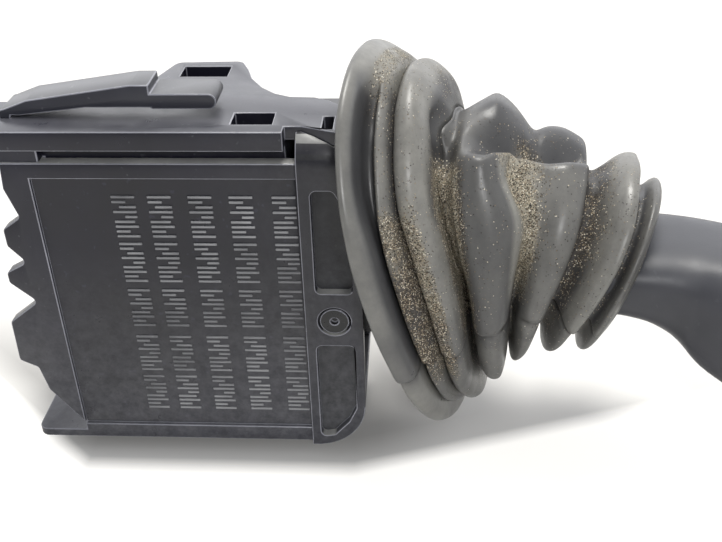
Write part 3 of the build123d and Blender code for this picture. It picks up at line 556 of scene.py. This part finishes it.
# %% Middle line and folds
# Ridges A to G: place along the boot, centre X, Y, Z, half height, half width, lean and turn.
RIDGES = [
    (-0.45, 36.4, -1.0, 33.3, 31.4, 23.5, 14, 13),
    (0.00, 39.4, -1.0, 33.0, 31.4, 23.5, 14, 13),
    (0.40, 42.5, -1.0, 32.7, 30.9, 23.0, 14, 13),
    (1.00, 46.3, -1.0, 33.3, 28.2, 18.7, 13, 11),
    (2.00, 52.4, -1.0, 33.0, 23.2, 17.5, 3, 3),
    (3.00, 59.2, -1.0, 31.5, 18.8, 15.5, -11, 5),
    (4.00, 66.2, -1.0, 30.4, 16.5, 14.6, -20, 9),
    (5.00, 71.2, -1.3, 28.9, 13.3, 13.2, -19, 14),
    (5.60, 74.0, -1.4, 28.7, 12.0, 12.2, -19, 14),
]
# Sway of ridges A to F along the boot: angle round the ring and millimetres towards the lever.
SWAY = [
    [(22, 0.0), (42, -0.35), (60, -0.5), (76, -0.5), (90, -0.2), (105, 0.4), (135, 0.5)],
    [(5, 0.0), (18, 0.5), (32, 0.9), (48, 0.7), (62, 0.3), (75, 0.8), (92, 1.4), (106, 1.0), (135, -0.5)],
    [(28, 0.0), (45, -0.8), (60, -0.8), (80, -0.9), (105, -0.9), (122, -0.4), (140, 0.0)],
    [(60, 0.0), (76, -0.3), (92, -0.8), (105, -0.8), (135, -0.2)],
    [(16, 0.0), (32, 0.5), (48, 1.1), (64, 1.3), (80, 1.1), (98, 0.5), (115, 0.0), (150, 0.0)],
    [(0, 0.0)],
]
# Folds, one row for each bend: place and depth on the crown, then on the sides the place above,
# the place below, and the depth. Depths are under the ridges, in millimetres. Short rows leave out
# what repeats.
FOLD_TABLE = [
    (0.04, 7.5), (-0.02, 6.0), (-0.08, 4.0), (-0.115, 2.4, -0.12, 2.4), (-0.11, 1.1, -0.12, 1.1),
    (-0.06, 0.3, -0.07, -0.06, 0.3), (0.02, 0.0, 0.01, 0.02, 0.0), (0.10, 0.05, 0.08, 0.13, 0.05),
    (0.17, 0.2, 0.13, 0.22, 0.4), (0.22, 0.35, 0.155, 0.275, 1.1), (0.26, 0.5, 0.16, 0.295, 2.3),
    (0.30, 0.65, 0.145, 0.28, 3.9), (0.34, 0.8, 0.13, 0.265, 5.1), (0.37, 0.9, 0.18, 0.28, 5.6),
    (0.40, 0.95, 0.28, 0.305, 5.4), (0.43, 1.0, 0.325, 4.5), (0.46, 1.05, 0.35, 0.345, 3.3),
    (0.49, 1.15, 0.39, 0.38, 2.6), (0.54, 1.4, 0.46, 2.5), (0.59, 2.0, 0.53, 0.56, 2.7),
    (0.62, 3.2, 0.555, 0.61, 3.6), (0.64, 4.6, 0.57, 0.64, 4.9), (0.66, 3.4, 0.59, 0.655, 3.5),
    (0.70, 2.0, 0.64, 0.695, 2.3), (0.78, 1.0, 0.73, 0.78, 1.2), (0.88, 0.3, 0.85, 0.88, 0.3),
    (0.97, 0.0, 0.96, 0.97, 0.0), (1.05, 0.15, 1.02, 1.05, 0.2), (1.12, 0.6, 1.06, 1.11, 0.8),
    (1.17, 1.1, 1.085, 1.155, 1.8), (1.21, 1.7, 1.09, 1.17, 3.2), (1.25, 2.4, 1.065, 1.155, 4.8),
    (1.28, 3.4, 1.03, 1.12, 6.2), (1.31, 4.5, 1.05, 1.13, 7.3), (1.34, 5.5, 1.15, 1.20, 7.6),
    (1.36, 5.9, 1.26, 1.29, 7.2), (1.38, 5.9, 1.33, 1.34, 5.7), (1.42, 5.6, 1.375, 1.38, 4.3),
    (1.48, 5.1, 1.415, 1.42, 3.1), (1.56, 4.3, 1.47, 2.3), (1.66, 3.2, 1.56, 1.5), (1.78, 1.9, 1.68, 0.8),
    (1.89, 0.8, 1.84, 0.2), (2.00, 0.0), (2.12, 0.3, 0.15), (2.22, 0.9, 2.23, 0.6), (2.30, 1.7, 2.31, 1.3),
    (2.36, 2.3, 2.365, 2.4), (2.40, 2.7, 2.39, 3.8), (2.43, 2.9, 2.41, 5.2), (2.47, 3.0, 2.46, 5.8),
    (2.52, 2.8, 5.0), (2.58, 2.1, 3.5), (2.66, 1.2, 2.65, 2.1), (2.77, 0.5, 2.76, 1.0), (2.88, 0.1, 0.25),
    (2.99, 0.0), (3.10, 0.15, 0.2), (3.18, 0.5, 3.17, 0.8), (3.23, 1.3, 3.21, 1.9), (3.26, 2.4, 3.225, 3.4),
    (3.29, 3.6, 3.23, 5.0), (3.34, 4.6, 3.29, 6.0), (3.42, 4.8, 3.40, 6.0), (3.50, 4.2, 3.49, 5.2),
    (3.58, 3.3, 3.575, 4.1), (3.66, 2.3, 2.7), (3.73, 1.3, 1.5), (3.82, 0.5, 0.6), (3.92, 0.1), (4.00, 0.0),
    (4.07, 0.4), (4.11, 1.5), (4.14, 2.6), (4.20, 3.2, 3.3), (4.33, 3.3, 3.4), (4.47, 3.0, 3.1),
    (4.58, 2.3, 2.4), (4.67, 1.3), (4.78, 0.2), (4.92, 0.0), (5.02, 0.3), (5.08, 0.9),
]


def full_row(place, crown_depth, *side):
    """A row in full: below is as above, and above and the depth are as on the crown, if left out."""
    depth = side[-1] if side else crown_depth
    above = side[0] if len(side) > 1 else place
    below = side[1] if len(side) > 2 else above
    return place, crown_depth, above, below, depth


FOLDS = [full_row(*row) for row in FOLD_TABLE]
print(len(FOLDS), "rows of folds")
DEEPEST = 1.34


def smooth(low, high, value):
    """0 below low, 1 above high, and a smooth rise between."""
    share = min(1.0, max(0.0, (value - low) / (high - low)))
    return share * share * (3 - 2 * share)


def window(value, start, rise, fall, end):
    """A smooth hill: up from start to rise, down from fall to end."""
    return smooth(start, rise, value) * (1 - smooth(fall, end, value))


def table(value, rows):
    """The values of a table at a place, in straight steps between its rows."""
    if value <= rows[0][0]:
        return rows[0][1:]
    for first, second in zip(rows, rows[1:]):
        if value <= second[0]:
            share = (value - first[0]) / (second[0] - first[0])
            return tuple(a + (b - a) * share for a, b in zip(first[1:], second[1:]))
    return rows[-1][1:]


# %% Humps, hollow and parting step
# Angles go round a ring from its top, positive towards the driver, in degrees.
# Hollow: angle in front of the thumb's end, and millimetres outwards. Thumb's end: place and angle.
# Parting: place and angle of the line below which the folds are a little smaller.
HOLLOW = [(-14, 0.0), (-8, 0.35), (-4, 0.3), (-1, -0.7), (1, -2.6), (4, -4.8), (9, -5.8), (15, -5.6),
          (21, -4.2), (28, -2.4), (36, -1.1), (46, -0.6), (60, -0.2), (78, 0.0)]
THUMB_END = [(1.36, 50.0), (1.45, 43.0), (1.6, 37.5), (1.8, 35.0), (2.0, 34.0), (2.3, 28.0), (2.6, 21.0),
             (3.0, 16.0), (3.4, 8.0), (3.6, 2.0)]
PARTING = [(-0.3, 111.0), (1.0, 109.0), (2.0, 104.0), (3.0, 101.0), (4.0, 109.0), (5.0, 113.0)]
PARTING_STEP = 0.8


def sway(place, angle):
    """How far the folds swing along the boot at an angle, in millimetres."""
    first = min(len(SWAY) - 2, max(0, int(math.floor(place))))
    share = min(1.0, max(0.0, place - first))
    here, there = (table(abs(angle), SWAY[index])[0] for index in (first, first + 1))
    return here + (there - here) * share


def on_fold(row, angle):
    """Place and depth of a row of the table at an angle; the fat roll leans in at its rounded end."""
    crown_place, crown_depth, above, below, side_depth = row
    crown = window(angle, -75, -48, 4, 26)
    side_place = above + (below - above) * smooth(50, 76, abs(angle))
    place = side_place + (crown_place - side_place) * crown
    lean_in = -0.30 * smooth(1.4, 2.45, place) * (1 - smooth(2.42, 2.74, place))
    filled = 0.52 * window(crown_place, 2.24, 2.40, 2.52, 2.66) * window(angle, 0, 24, 60, 86)
    filled += 0.30 * window(crown_place, 1.30, 1.35, 1.40, 1.48) * window(angle, 30, 52, 74, 94)
    depth = side_depth * (1 - filled)
    wide = window(angle, -75, -48, 18, 42) - crown
    crown_share = crown + wide * window(crown_place, 1.15, 1.28, 1.6, 1.85)
    return place + lean_in * window(angle, 14, 30, 36, 62), depth + (crown_depth - depth) * crown_share


def hump(place, angle):
    """Humps and the hollow in front of them, as millimetres outwards."""
    end = table(place, THUMB_END)[0]
    along = window(place, 1.52, 1.98, 3.02, 3.42)
    web = 1 - 0.42 * window(place, 2.22, 2.4, 2.55, 2.72)
    small = 1 - 0.25 * smooth(2.5, 3.1, place)
    return along * web * small * table(end - angle, HOLLOW)[0]


def parting(place, angle):
    """The lower part of each fold is a little smaller, behind a fine groove."""
    line = table(place, PARTING)[0]
    past = abs(angle) - line
    groove = window(past, -1.6, 0.0, 0.0, 1.6)
    return -(PARTING_STEP * smooth(-0.6, 0.6, past) + groove) * (1 - 0.85 * smooth(4.4, 4.95, place))


def wander(point):
    """Hand-sized unevenness of soft rubber."""
    return 0.30 * field.noise(point / 9.0) + 0.10 * field.noise(point / 3.5)


# %% One ring of the boot
# Columns stand 3 degrees apart, and closer where the parting line runs.
RING_STEP = 3.0
PARTING_BASE = 105.0
PARTING_SHIFTS = (-3.2, -1.2, -0.4, 0.4, 1.2, 3.2)
BOOT_POWER = 2.15
even = [index * RING_STEP - 180 for index in range(int(360 / RING_STEP))]
COLUMNS = sorted([base for base in even if abs(abs(base) - PARTING_BASE) > 4.5]
                 + [side * (PARTING_BASE + shift) for side in (-1, 1) for shift in PARTING_SHIFTS])
print(len(COLUMNS), "columns round the boot")


def column_angle(base, place):
    """Columns near the parting line follow it."""
    shift = table(place, PARTING)[0] - PARTING_BASE
    weight = 1 - min(1.0, abs(abs(base) - PARTING_BASE) / 22)
    return base + math.copysign(shift * weight, base)


def frame_of(place):
    """Centre, sizes and the two directions of the ring at a place along the boot."""
    x, y, z, high, wide, lean, turn = table(place, RIDGES)
    lean, turn = math.radians(lean), math.radians(turn)
    across = Vector((math.sin(turn), math.cos(turn), 0))
    up = Vector((-math.sin(lean), 0, math.cos(lean)))
    return Vector((x, y, z)), high, wide, across, up


def superellipse(angle, power):
    """Sine and cosine of an angle, squared off a little."""
    s, c = math.sin(math.radians(angle)), math.cos(math.radians(angle))
    return (math.copysign(abs(s) ** (2 / power), s), math.copysign(abs(c) ** (2 / power), c))


def boot_point(row, base):
    """A point of the boot's skin, in millimetres, with its angle and depth."""
    angle = column_angle(base, row[0])
    place, depth = on_fold(row, angle)
    centre, high, wide, across, up = frame_of(place)
    s, c = superellipse(angle, BOOT_POWER)
    outward = hump(row[0], angle) + parting(row[0], angle) - depth
    point = centre - across * s * (wide + outward) + up * c * (high + outward)
    point.x += sway(place, angle)
    point += (up * c - across * s) * wander(point) * (1.0 if place > 0.3 else 0.4)
    return point, angle, depth


# %% Where sand, haze and painted shade lie
# Patches: place from and to, angle from and to, and amount.
SAND = [
    (0.45, 0.92, 62, 118, 0.95), (0.30, 0.60, -20, 22, 0.3), (0.43, 0.48, 14, 70, 0.6), (0.34, 0.5, 92, 122, 0.8),
    (0.60, 0.70, 20, 70, 0.25), (1.18, 1.58, 40, 108, 1.0), (1.54, 1.66, 40, 70, 0.4), (1.1, 1.3, -60, 4, 0.15),
    (2.40, 2.66, 26, 92, 0.95), (2.20, 2.60, 4, 34, 0.6), (1.9, 2.2, 22, 34, 0.3),
    (3.34, 3.58, 14, 92, 0.62), (4.12, 4.40, 6, 95, 0.45), (3.24, 3.70, -60, 14, 0.25),
]
# Haze: pale bloom, with less of it low down and more on faces that get less light, as painted light and shade.
BLOOM_AND_SHADE = [
    (-0.3, 0.20, -70, 96, 0.68), (-0.3, 0.2, 94, 112, 0.42), (0.05, 0.66, -70, 14, 1.0),
    (0.46, 0.62, 12, 80, 0.8), (0.66, 1.18, -80, 96, 0.9), (0.66, 1.18, 90, 112, 0.5),
    (0.95, 1.22, -40, 50, 0.8), (1.12, 1.22, 62, 104, 0.85), (1.20, 1.56, 38, 100, 0.92),
    (1.5, 2.36, 34, 112, 0.30), (1.3, 2.3, -70, -4, 0.3), (1.30, 1.80, -10, 40, 0.42),
    (2.24, 2.66, 20, 92, 1.0), (2.20, 2.6, 8, 34, 0.7), (2.62, 3.22, 22, 112, 0.58),
    (2.6, 3.2, -60, -10, 0.15), (3.58, 4.10, -70, 112, 0.82), (3.5, 3.8, 14, 80, 0.4),
    (4.6, 5.2, -90, 116, 0.54), (-0.4, 0.5, 110, 180, 0.8), (0.5, 6.0, 110, 180, 0.55),
]


def patch_amount(patches, place, angle):
    """The strongest of the patches at a spot, with soft borders."""
    total = 0.0
    for start, end, first, last, amount in patches:
        along = window(place, start - 0.03, start + 0.06, end - 0.06, end + 0.03)
        round_it = window(angle, first - 8, first + 8, last - 8, last + 8)
        total = max(total, amount * along * round_it)
    return total


def dust_at(place, depth, angle):
    """Sand in its patches, some in every deep fold, and a trace all over."""
    groove = smooth(1.6, 4.6, depth) * smooth(0.42, 0.7, place)
    everywhere = 0.35 if -70 < angle < 70 else 0.22
    everywhere *= 1 - 0.85 * window(place, 1.22, 1.32, 1.9, 2.1) * (1 - smooth(34, 44, angle))
    return max(patch_amount(SAND, place, angle), groove * everywhere, 0.05 * smooth(0.3, 0.5, place))


def crease_shade_at(place, depth, angle):
    """Painted shade: a dark line in the parting groove, low in one groove and at the bottom of the folds."""
    past = abs(angle) - table(place, PARTING)[0]
    line = window(past, -1.3, -0.3, 0.3, 1.3) * (1 - smooth(4.4, 4.95, place))
    shade = 0.5 * window(place, 3.16, 3.26, 3.46, 3.62) * window(angle, 66, 82, 112, 124)
    return max(line, shade, 0.6 * smooth(3.8, 7.0, depth))


# %% Loft the boot in two pieces that meet in the deepest fold
NECK_CENTRE = (-2.0, 29.7)
NECK_HALF = (10.0, 5.5)
NECK_TOP_POWER, NECK_UNDER_POWER = 3.3, 2.6
COLLAR_PLACE = 5.12
# Collar: share of the way in from the last fold, gap to the neck and step back, in millimetres.
COLLAR_RINGS = [(0.45, 0.9, -0.3), (0.85, 0.3, -0.4), (1.0, 0.06, 0.0), (1.0, 0.04, 1.2)]
RUBBER_THICK = 1.1


def neck_ring(place, gap, back):
    """The ring where the collar closes on the lever's neck."""
    centre, high, wide, across, up = frame_of(place)
    normal = across.cross(up)
    points = []
    for base in COLUMNS:
        angle = column_angle(base, place)
        s, c = superellipse(angle, NECK_TOP_POWER if abs(angle) < 90 else NECK_UNDER_POWER)
        y = NECK_CENTRE[0] - s * (NECK_HALF[0] + gap)
        z = NECK_CENTRE[1] + c * (NECK_HALF[1] + gap)
        x = centre.x - (normal.y * (y - centre.y) + normal.z * (z - centre.z)) / normal.x
        points.append(Vector((x - back, y, z)))
    return points


def boot_piece(name, rows, collar=False):
    """Loft some rows of the folds, with their dust, bloom and painted shade."""
    rings, dust, bloom_and_shade, crease = [], [], [], []
    for row in rows:
        ring = []
        for base in COLUMNS:
            point, angle, depth = boot_point(row, base)
            ring.append(point * MM)
            dust.append(dust_at(row[0], depth, angle))
            bloom_and_shade.append(max(0.12, patch_amount(BLOOM_AND_SHADE, row[0], angle)))
            crease.append(crease_shade_at(row[0], depth, angle))
        rings.append(ring)
    if collar:
        last_fold = rings[-1]
        for share, gap, back in COLLAR_RINGS:
            at_neck = neck_ring(COLLAR_PLACE, gap, back)
            rings.append([a.lerp(b * MM, share) for a, b in zip(last_fold, at_neck)])
            dust += [0.2] * len(COLUMNS)
            bloom_and_shade += [0.1] * len(COLUMNS)
            crease += [0.0] * len(COLUMNS)
    piece, placed = lofted(name, rings)
    for title, values in (("dust", dust), ("bloom_and_shade", bloom_and_shade), ("crease", crease)):
        attribute = piece.data.attributes.new(title, "FLOAT", "POINT")
        for index, value in zip(placed, values):
            attribute.data[index].value = value
    apply_modifier(piece, "SUBSURF", levels=1, render_levels=1)
    apply_modifier(piece, "SOLIDIFY", thickness=RUBBER_THICK * MM, offset=-1.0, use_even_offset=False)
    bpy.ops.object.shade_smooth()
    piece.data.materials.append(BOOT_RUBBER)
    settle(piece)
    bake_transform(piece)
    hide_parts("gaiter")


boot_piece("boot_lip_and_folds", [row for row in FOLDS if row[0] <= DEEPEST])
boot_piece("boot_rolls_and_collar", [row for row in FOLDS if row[0] >= DEEPEST],
           collar=True)

# %% [markdown]
# ## Lever
# The real lever is two nylon shells snapped together: a broad front shell and a narrow back cover,
# with an open seam on top. The neck is a flat bar; past the boot it bends sharply towards the driver
# and grows deeper. Its front top edge is a soft crease. Each shell is part of one set of rings, so
# both follow the same sweep, and their seam edges turn inwards so that the gap looks deep.

# %% Lever rings
# Stations: centre X, Y and Z, turn towards the driver, width and height.
STATIONS = [
    (58.0, -1.8, 29.8, 0, 13.4, 8.2),
    (64.0, -1.8, 29.8, 0, 13.6, 8.4),
    (65.6, -1.9, 29.8, 0, 15.4, 9.1),
    (66.7, -1.9, 29.8, 0, 19.4, 10.5),
    (70.0, -2.0, 29.7, 0, 20.0, 10.8),
    (74.0, -2.1, 29.2, 1, 20.3, 12.0),
    (77.5, -2.5, 28.4, 5, 20.5, 13.6),
    (80.4, -3.2, 27.7, 14, 20.6, 15.0),
    (83.2, -4.4, 27.0, 26, 20.5, 16.6),
    (85.7, -6.0, 26.4, 38, 20.3, 18.2),
    (88.3, -8.4, 25.8, 47, 20.0, 19.6),
    (92.4, -12.8, 25.1, 49, 19.0, 20.8),
    (97.5, -18.6, 24.4, 48, 17.9, 21.4),
    (104.5, -26.0, 23.6, 45, 16.2, 21.8),
    (112.0, -32.8, 22.8, 40, 14.5, 21.9),
    (121.0, -39.6, 22.1, 33, 13.1, 21.6),
    (130.0, -44.9, 21.6, 28, 12.0, 21.0),
    (141.0, -50.0, 21.2, 22, 11.1, 20.3),
    (152.0, -54.0, 20.8, 18, 10.5, 19.5),
    (162.0, -57.0, 20.5, 16, 9.8, 18.6),
    (170.0, -59.1, 20.25, 14, 9.1, 17.7),
    (174.4, -60.15, 20.1, 14, 8.2, 16.4),
    (176.4, -60.6, 20.05, 14, 6.2, 13.8),
    (177.3, -60.85, 20.0, 14, 3.2, 9.5),
]
FINE_STEPS = 3
AROUND = 56
CROWN = 0.35
SEAM_SHARE = 0.72
SEAM_HALF_GAP = 0.16
SEAM_ROUND = 0.28
SEAM_DEPTH = 1.6
LEVER_WALL = 1.2
# From here on the wall thickens until it closes the tip.
TIP_FROM = 176.0
TIP_CLOSED = 0.98


def lever_frame(station):
    """Centre, the direction across, and half the width and height."""
    x, y, z, turn, width, height = station
    turn = math.radians(turn)
    return Vector((x, y, z)), Vector((math.sin(turn), math.cos(turn), 0)), width / 2, height / 2


def lever_section(station, angle):
    """A point of the section: flat top and front, fuller underside, soft crease at the front top."""
    centre, across, half_width, half_height = lever_frame(station)
    upper = math.cos(math.radians(angle)) > 0
    s, c = superellipse(angle, NECK_TOP_POWER if upper else NECK_UNDER_POWER)
    crown = CROWN * (1 - s * s) if c > 0 else 0
    return centre - across * s * half_width + Vector((0, 0, c * half_height + crown))


def fine_stations():
    """Stations with more between them, on a smooth curve through them."""
    rows = []
    for index in range(len(STATIONS) - 1):
        before = STATIONS[max(0, index - 1)]
        first, second = STATIONS[index], STATIONS[index + 1]
        after = STATIONS[min(len(STATIONS) - 1, index + 2)]
        for step in range(FINE_STEPS):
            t = step / FINE_STEPS
            rows.append(tuple(
                0.5 * (2 * b + (c - a) * t + (2 * a - 5 * b + 4 * c - d) * t * t
                       + (3 * b - a - 3 * c + d) * t * t * t)
                for a, b, c, d in zip(before, first, second, after)))
    rows.append(STATIONS[-1])
    return rows


def lever_shell(name, node, first, last):
    """A strip of the section from angle first to last, with its edges turned in."""
    rings = []
    count = max(8, int(AROUND * abs(last - first) / 360))
    for station in fine_stations():
        centre = lever_frame(station)[0]
        angles = [first + (last - first) * k / count for k in range(count + 1)]
        skin = [lever_section(station, a) for a in angles]
        ring = []
        for end, neighbour in ((0, 1), (-1, -2)):
            edge, along = skin[end], (skin[neighbour] - skin[end]).normalized()
            into = (centre - edge).normalized()
            rounded = edge + along * (SEAM_HALF_GAP + SEAM_ROUND)
            shoulder = edge + along * (SEAM_HALF_GAP + 0.06) + into * 0.16
            deep = edge + along * SEAM_HALF_GAP + into * SEAM_DEPTH
            ring.append([deep, shoulder, rounded])
        face = skin[2:-2]
        closing = max(0.0, (station[0] - TIP_FROM) / (STATIONS[-1][0] - TIP_FROM))
        back = [p + (centre - p) * (TIP_CLOSED * closing) + (centre - p).normalized() * LEVER_WALL * (1 - closing)
                for p in face[::-1][::3]]
        rings.append([p * MM for p in ring[0] + face + ring[1][::-1] + back])
    piece = lofted(name, rings, closed=True)[0]
    apply_modifier(piece, "BEVEL", width=0.05 * MM, segments=1, limit_method="ANGLE", angle_limit=1.0)
    smooth_up_to(piece, 50)
    piece.data.materials.append(LEVER_NYLON)
    settle(piece)
    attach(piece, "lever")
    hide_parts(node)


# The seam is where the section reaches a share of its half width, behind the middle.
SEAM = next(-tenth / 10 for tenth in range(900) if -superellipse(-tenth / 10, NECK_TOP_POWER)[0] >= SEAM_SHARE)
UNDER_SEAM = -(180 + SEAM)
print("seam at", SEAM, UNDER_SEAM)
lever_shell("lever_front_moulding", "lever_front_shell", SEAM, UNDER_SEAM + 360)
lever_shell("lever_back_moulding", "lever_back_cover", UNDER_SEAM, SEAM)

# %% [markdown]
# ## Inner parts
# The yoke, carriers, springs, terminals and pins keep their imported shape, which is already exact.
# They only get their finishes. Natural acetal runs dry against black nylon, so it is what such
# sliders are moulded in. The yoke can be seen beside the nose, and is black there.

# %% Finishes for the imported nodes
INNER_FINISHES = {
    "terminal_block": TERMINAL_POLYESTER, "contact_board": TERMINAL_POLYESTER, "pull_board": TERMINAL_POLYESTER,
    "blade_terminals": BRASS, "fixed_contacts": BRASS, "tilt_bridges": BRASS, "pull_bridge": BRASS,
    "detent_track": INNER_ACETAL, "tilt_yoke": BLACK_ACETAL, "detent_plunger": INNER_ACETAL,
    "tilt_carrier": INNER_ACETAL, "pull_carrier": INNER_ACETAL, "lever_core": INNER_ACETAL,
    "flash_pivot_pin": GROUND_STEEL, "lever_cross_pin": GROUND_STEEL,
}
for node, material in INNER_FINISHES.items():
    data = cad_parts[node].data
    data.materials.clear()
    data.materials.append(material)
print(len(INNER_FINISHES), "nodes finished")

# %% [markdown]
# ## Springs
# The two springs are coils of steel wire that get shorter when the plunger or the contact carrier
# pushes on them. Each is a welded copy of its packed coil, carried by its body.

# %% Springs as welded copies
# Node, name, body, joint, number of the axis and travel in millimetres.
SPRINGS = [
    ("detent_spring", "detent_coil", "yoke", "detent_slide", 0, 1.5),
    ("return_spring", "return_coil", "housing", "pull_shift", 1, 2.5),
]
for node, name, body, joint, along, travel in SPRINGS:
    coil = own_copy(node, name, [SPRING_STEEL])
    smooth_up_to(coil, 40)
    near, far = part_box(node)
    anchor = [(a + b) / 2 for a, b in zip(near, far)]
    anchor[along] = far[along]
    axis = [1.0 if index == along else 0.0 for index in range(3)]
    length = (far[along] - near[along]) / MM
    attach(coil, body)
    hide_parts(node)
    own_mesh(coil)

# %% [markdown]
# ## Floor and light
# The part lies on white paper. A soft lamp almost overhead gives the top faces their sheen and the
# short shadow at the foot of the housing, and the white room and the paper fill the rest. Glossy
# faces that look to the back see a bright wall, which is what makes black plastic look pale on top.
# The paper glows a little for the camera only, so that it is white without more light on the part,
# and more so far off, where the lamp's light fades. Under the part, where the short shadow lies, it
# is painted greyer, a painted shadow, and doesn't glow.

# %% Floor
FLOOR_Z = -3.0 * MM
PAPER, add, spot = new_material("paper_white_matt")
x, y = (add("SeparateXYZ", {0: spot}, axis) for axis in "XY")

# How far in front of the part's foot a spot lies: beside the part, the line turns towards the back.
past_end = add("MapRange", {0: x, 1: 30 * MM, 2: 1.0, 4: 0.33 * (1.0 - 30 * MM)})
past_tail = add("MapRange", {0: x, 1: -14 * MM, 2: -1.0, 4: 0.9 * (1.0 - 14 * MM)})
outside = add("Math", {0: past_end, 1: past_tail}, operation="ADD")
reach = add("Math", {0: outside, 1: y}, operation="SUBTRACT")

# A painted shadow: the paper itself is greyer under the part.
behind_line = add("MapRange", {0: reach, 1: 6 * MM, 2: 15 * MM, 3: 1.0, 4: 0.0})
not_far_back = add("MapRange", {0: y, 1: 10 * MM, 2: 35 * MM, 3: 1.0, 4: 0.0})
not_far_on = add("MapRange", {0: x, 1: 34 * MM, 2: 60 * MM, 3: 1.0, 4: 0.0})
painted_shadow = add("Math", {0: behind_line, 1: not_far_back}, operation="MULTIPLY")
painted_shadow = add("Math", {0: painted_shadow, 1: not_far_on}, operation="MULTIPLY")
tone = add("Mix", {0: painted_shadow, 6: "#eeedea", 7: "#b4b3b1"}, 2, data_type="RGBA")
matt_paper = add("BsdfDiffuse", {"Color": tone})

# Its glow, for the camera only.
near_glow = add("MapRange", {0: reach, 1: 11.6 * MM, 2: 15.2 * MM, 3: 0.02, 4: 0.62})
distance = add("VectorMath", {0: spot}, "Value", operation="LENGTH")
far_glow = add("MapRange", {0: distance, 1: 160 * MM, 2: 340 * MM})
both = add("Math", {0: near_glow, 1: far_glow}, operation="ADD")
seen = add("LightPath", output="Is Camera Ray")
strength = add("Math", {0: seen, 1: both}, operation="MULTIPLY", use_clamp=True)
glow = add("Emission", {"Color": "#fdfbf6", "Strength": strength})
surface = add("AddShader", {0: matt_paper, 1: glow})
add("OutputMaterial", {"Surface": surface})
deselect()
bpy.ops.mesh.primitive_plane_add(size=6.0, location=(0, 0, FLOOR_Z))
floor = bpy.context.object
floor.name = "paper_floor"
floor.data.materials.append(PAPER)
print("floor at", FLOOR_Z)


# %% Lamps
def soft_lamp(name, place, size, power, tone):
    """A round soft lamp that points at the middle of the part."""
    data = bpy.data.lights.new(name, "AREA")
    data.shape = "DISK"
    data.size = size
    data.energy = power
    data.color = linear(tone)[:3]
    lamp = bpy.data.objects.new(name, data)
    bpy.context.scene.collection.objects.link(lamp)
    lamp.location = place
    lamp.rotation_euler = (LAMPS_AIM - Vector(place)).to_track_quat("-Z", "Y").to_euler()
    print(name, power, "W")


LAMPS_AIM = Vector((0.04, 0.0, 0.03))
soft_lamp("overhead", (0.07, 0.10, 0.57), 0.22, 2.7, "#fffdf8")
soft_lamp("small_front", (0.135, -0.47, 0.33), 0.07, 1.2, "#ffffff")

# %% White room
# Its sides are bright, its ceiling less, and a dark patch in front keeps the marked face dark.
world = bpy.data.worlds.new("studio_world")
bpy.context.scene.world = world
world.use_nodes = True
add = empty_network(world.node_tree)
way = add("TexCoord", output="Generated")
x, y, z = (add("SeparateXYZ", {0: way}, axis) for axis in "XYZ")
sideways = add("Math", {0: x}, operation="ABSOLUTE")
sides = add("MapRange", {0: sideways, 1: 0.2, 2: 0.85, 3: 0.30, 4: 0.85})
ceiling = add("MapRange", {0: z, 1: 0.3, 2: 0.95, 4: 0.3})
white = add("Math", {0: sides, 1: ceiling}, operation="ADD")
frontal = add("VectorMath", {0: way, 1: (0.0, -0.86, 0.51)}, "Value", operation="DOT_PRODUCT")
dark_patch = add("MapRange", {0: frontal, 1: 0.45, 2: 0.9, 3: 1.0, 4: 0.35})
room = add("Math", {0: white, 1: dark_patch}, operation="MULTIPLY")
back_wall = add("MapRange", {0: y, 1: 0.3, 2: 0.8, 4: 1.5})
is_camera, is_glossy, is_transmission = (
    add("LightPath", output=f"Is {kind} Ray") for kind in ("Camera", "Glossy", "Transmission"))
wall = add("Math", {0: is_glossy, 1: back_wall}, operation="MULTIPLY")
lit = add("Math", {0: room, 1: wall}, operation="ADD")
direct = add("Math", {0: is_camera, 1: is_transmission}, operation="ADD")
level = add("Mix", {0: direct, 2: lit, 3: 1.0}, data_type="FLOAT")
sky = add("Background", {"Color": "#fafbff", "Strength": level})
add("OutputWorld", {"Surface": sky})
bpy.context.scene.view_settings.view_transform = "Standard"
print("white room made")
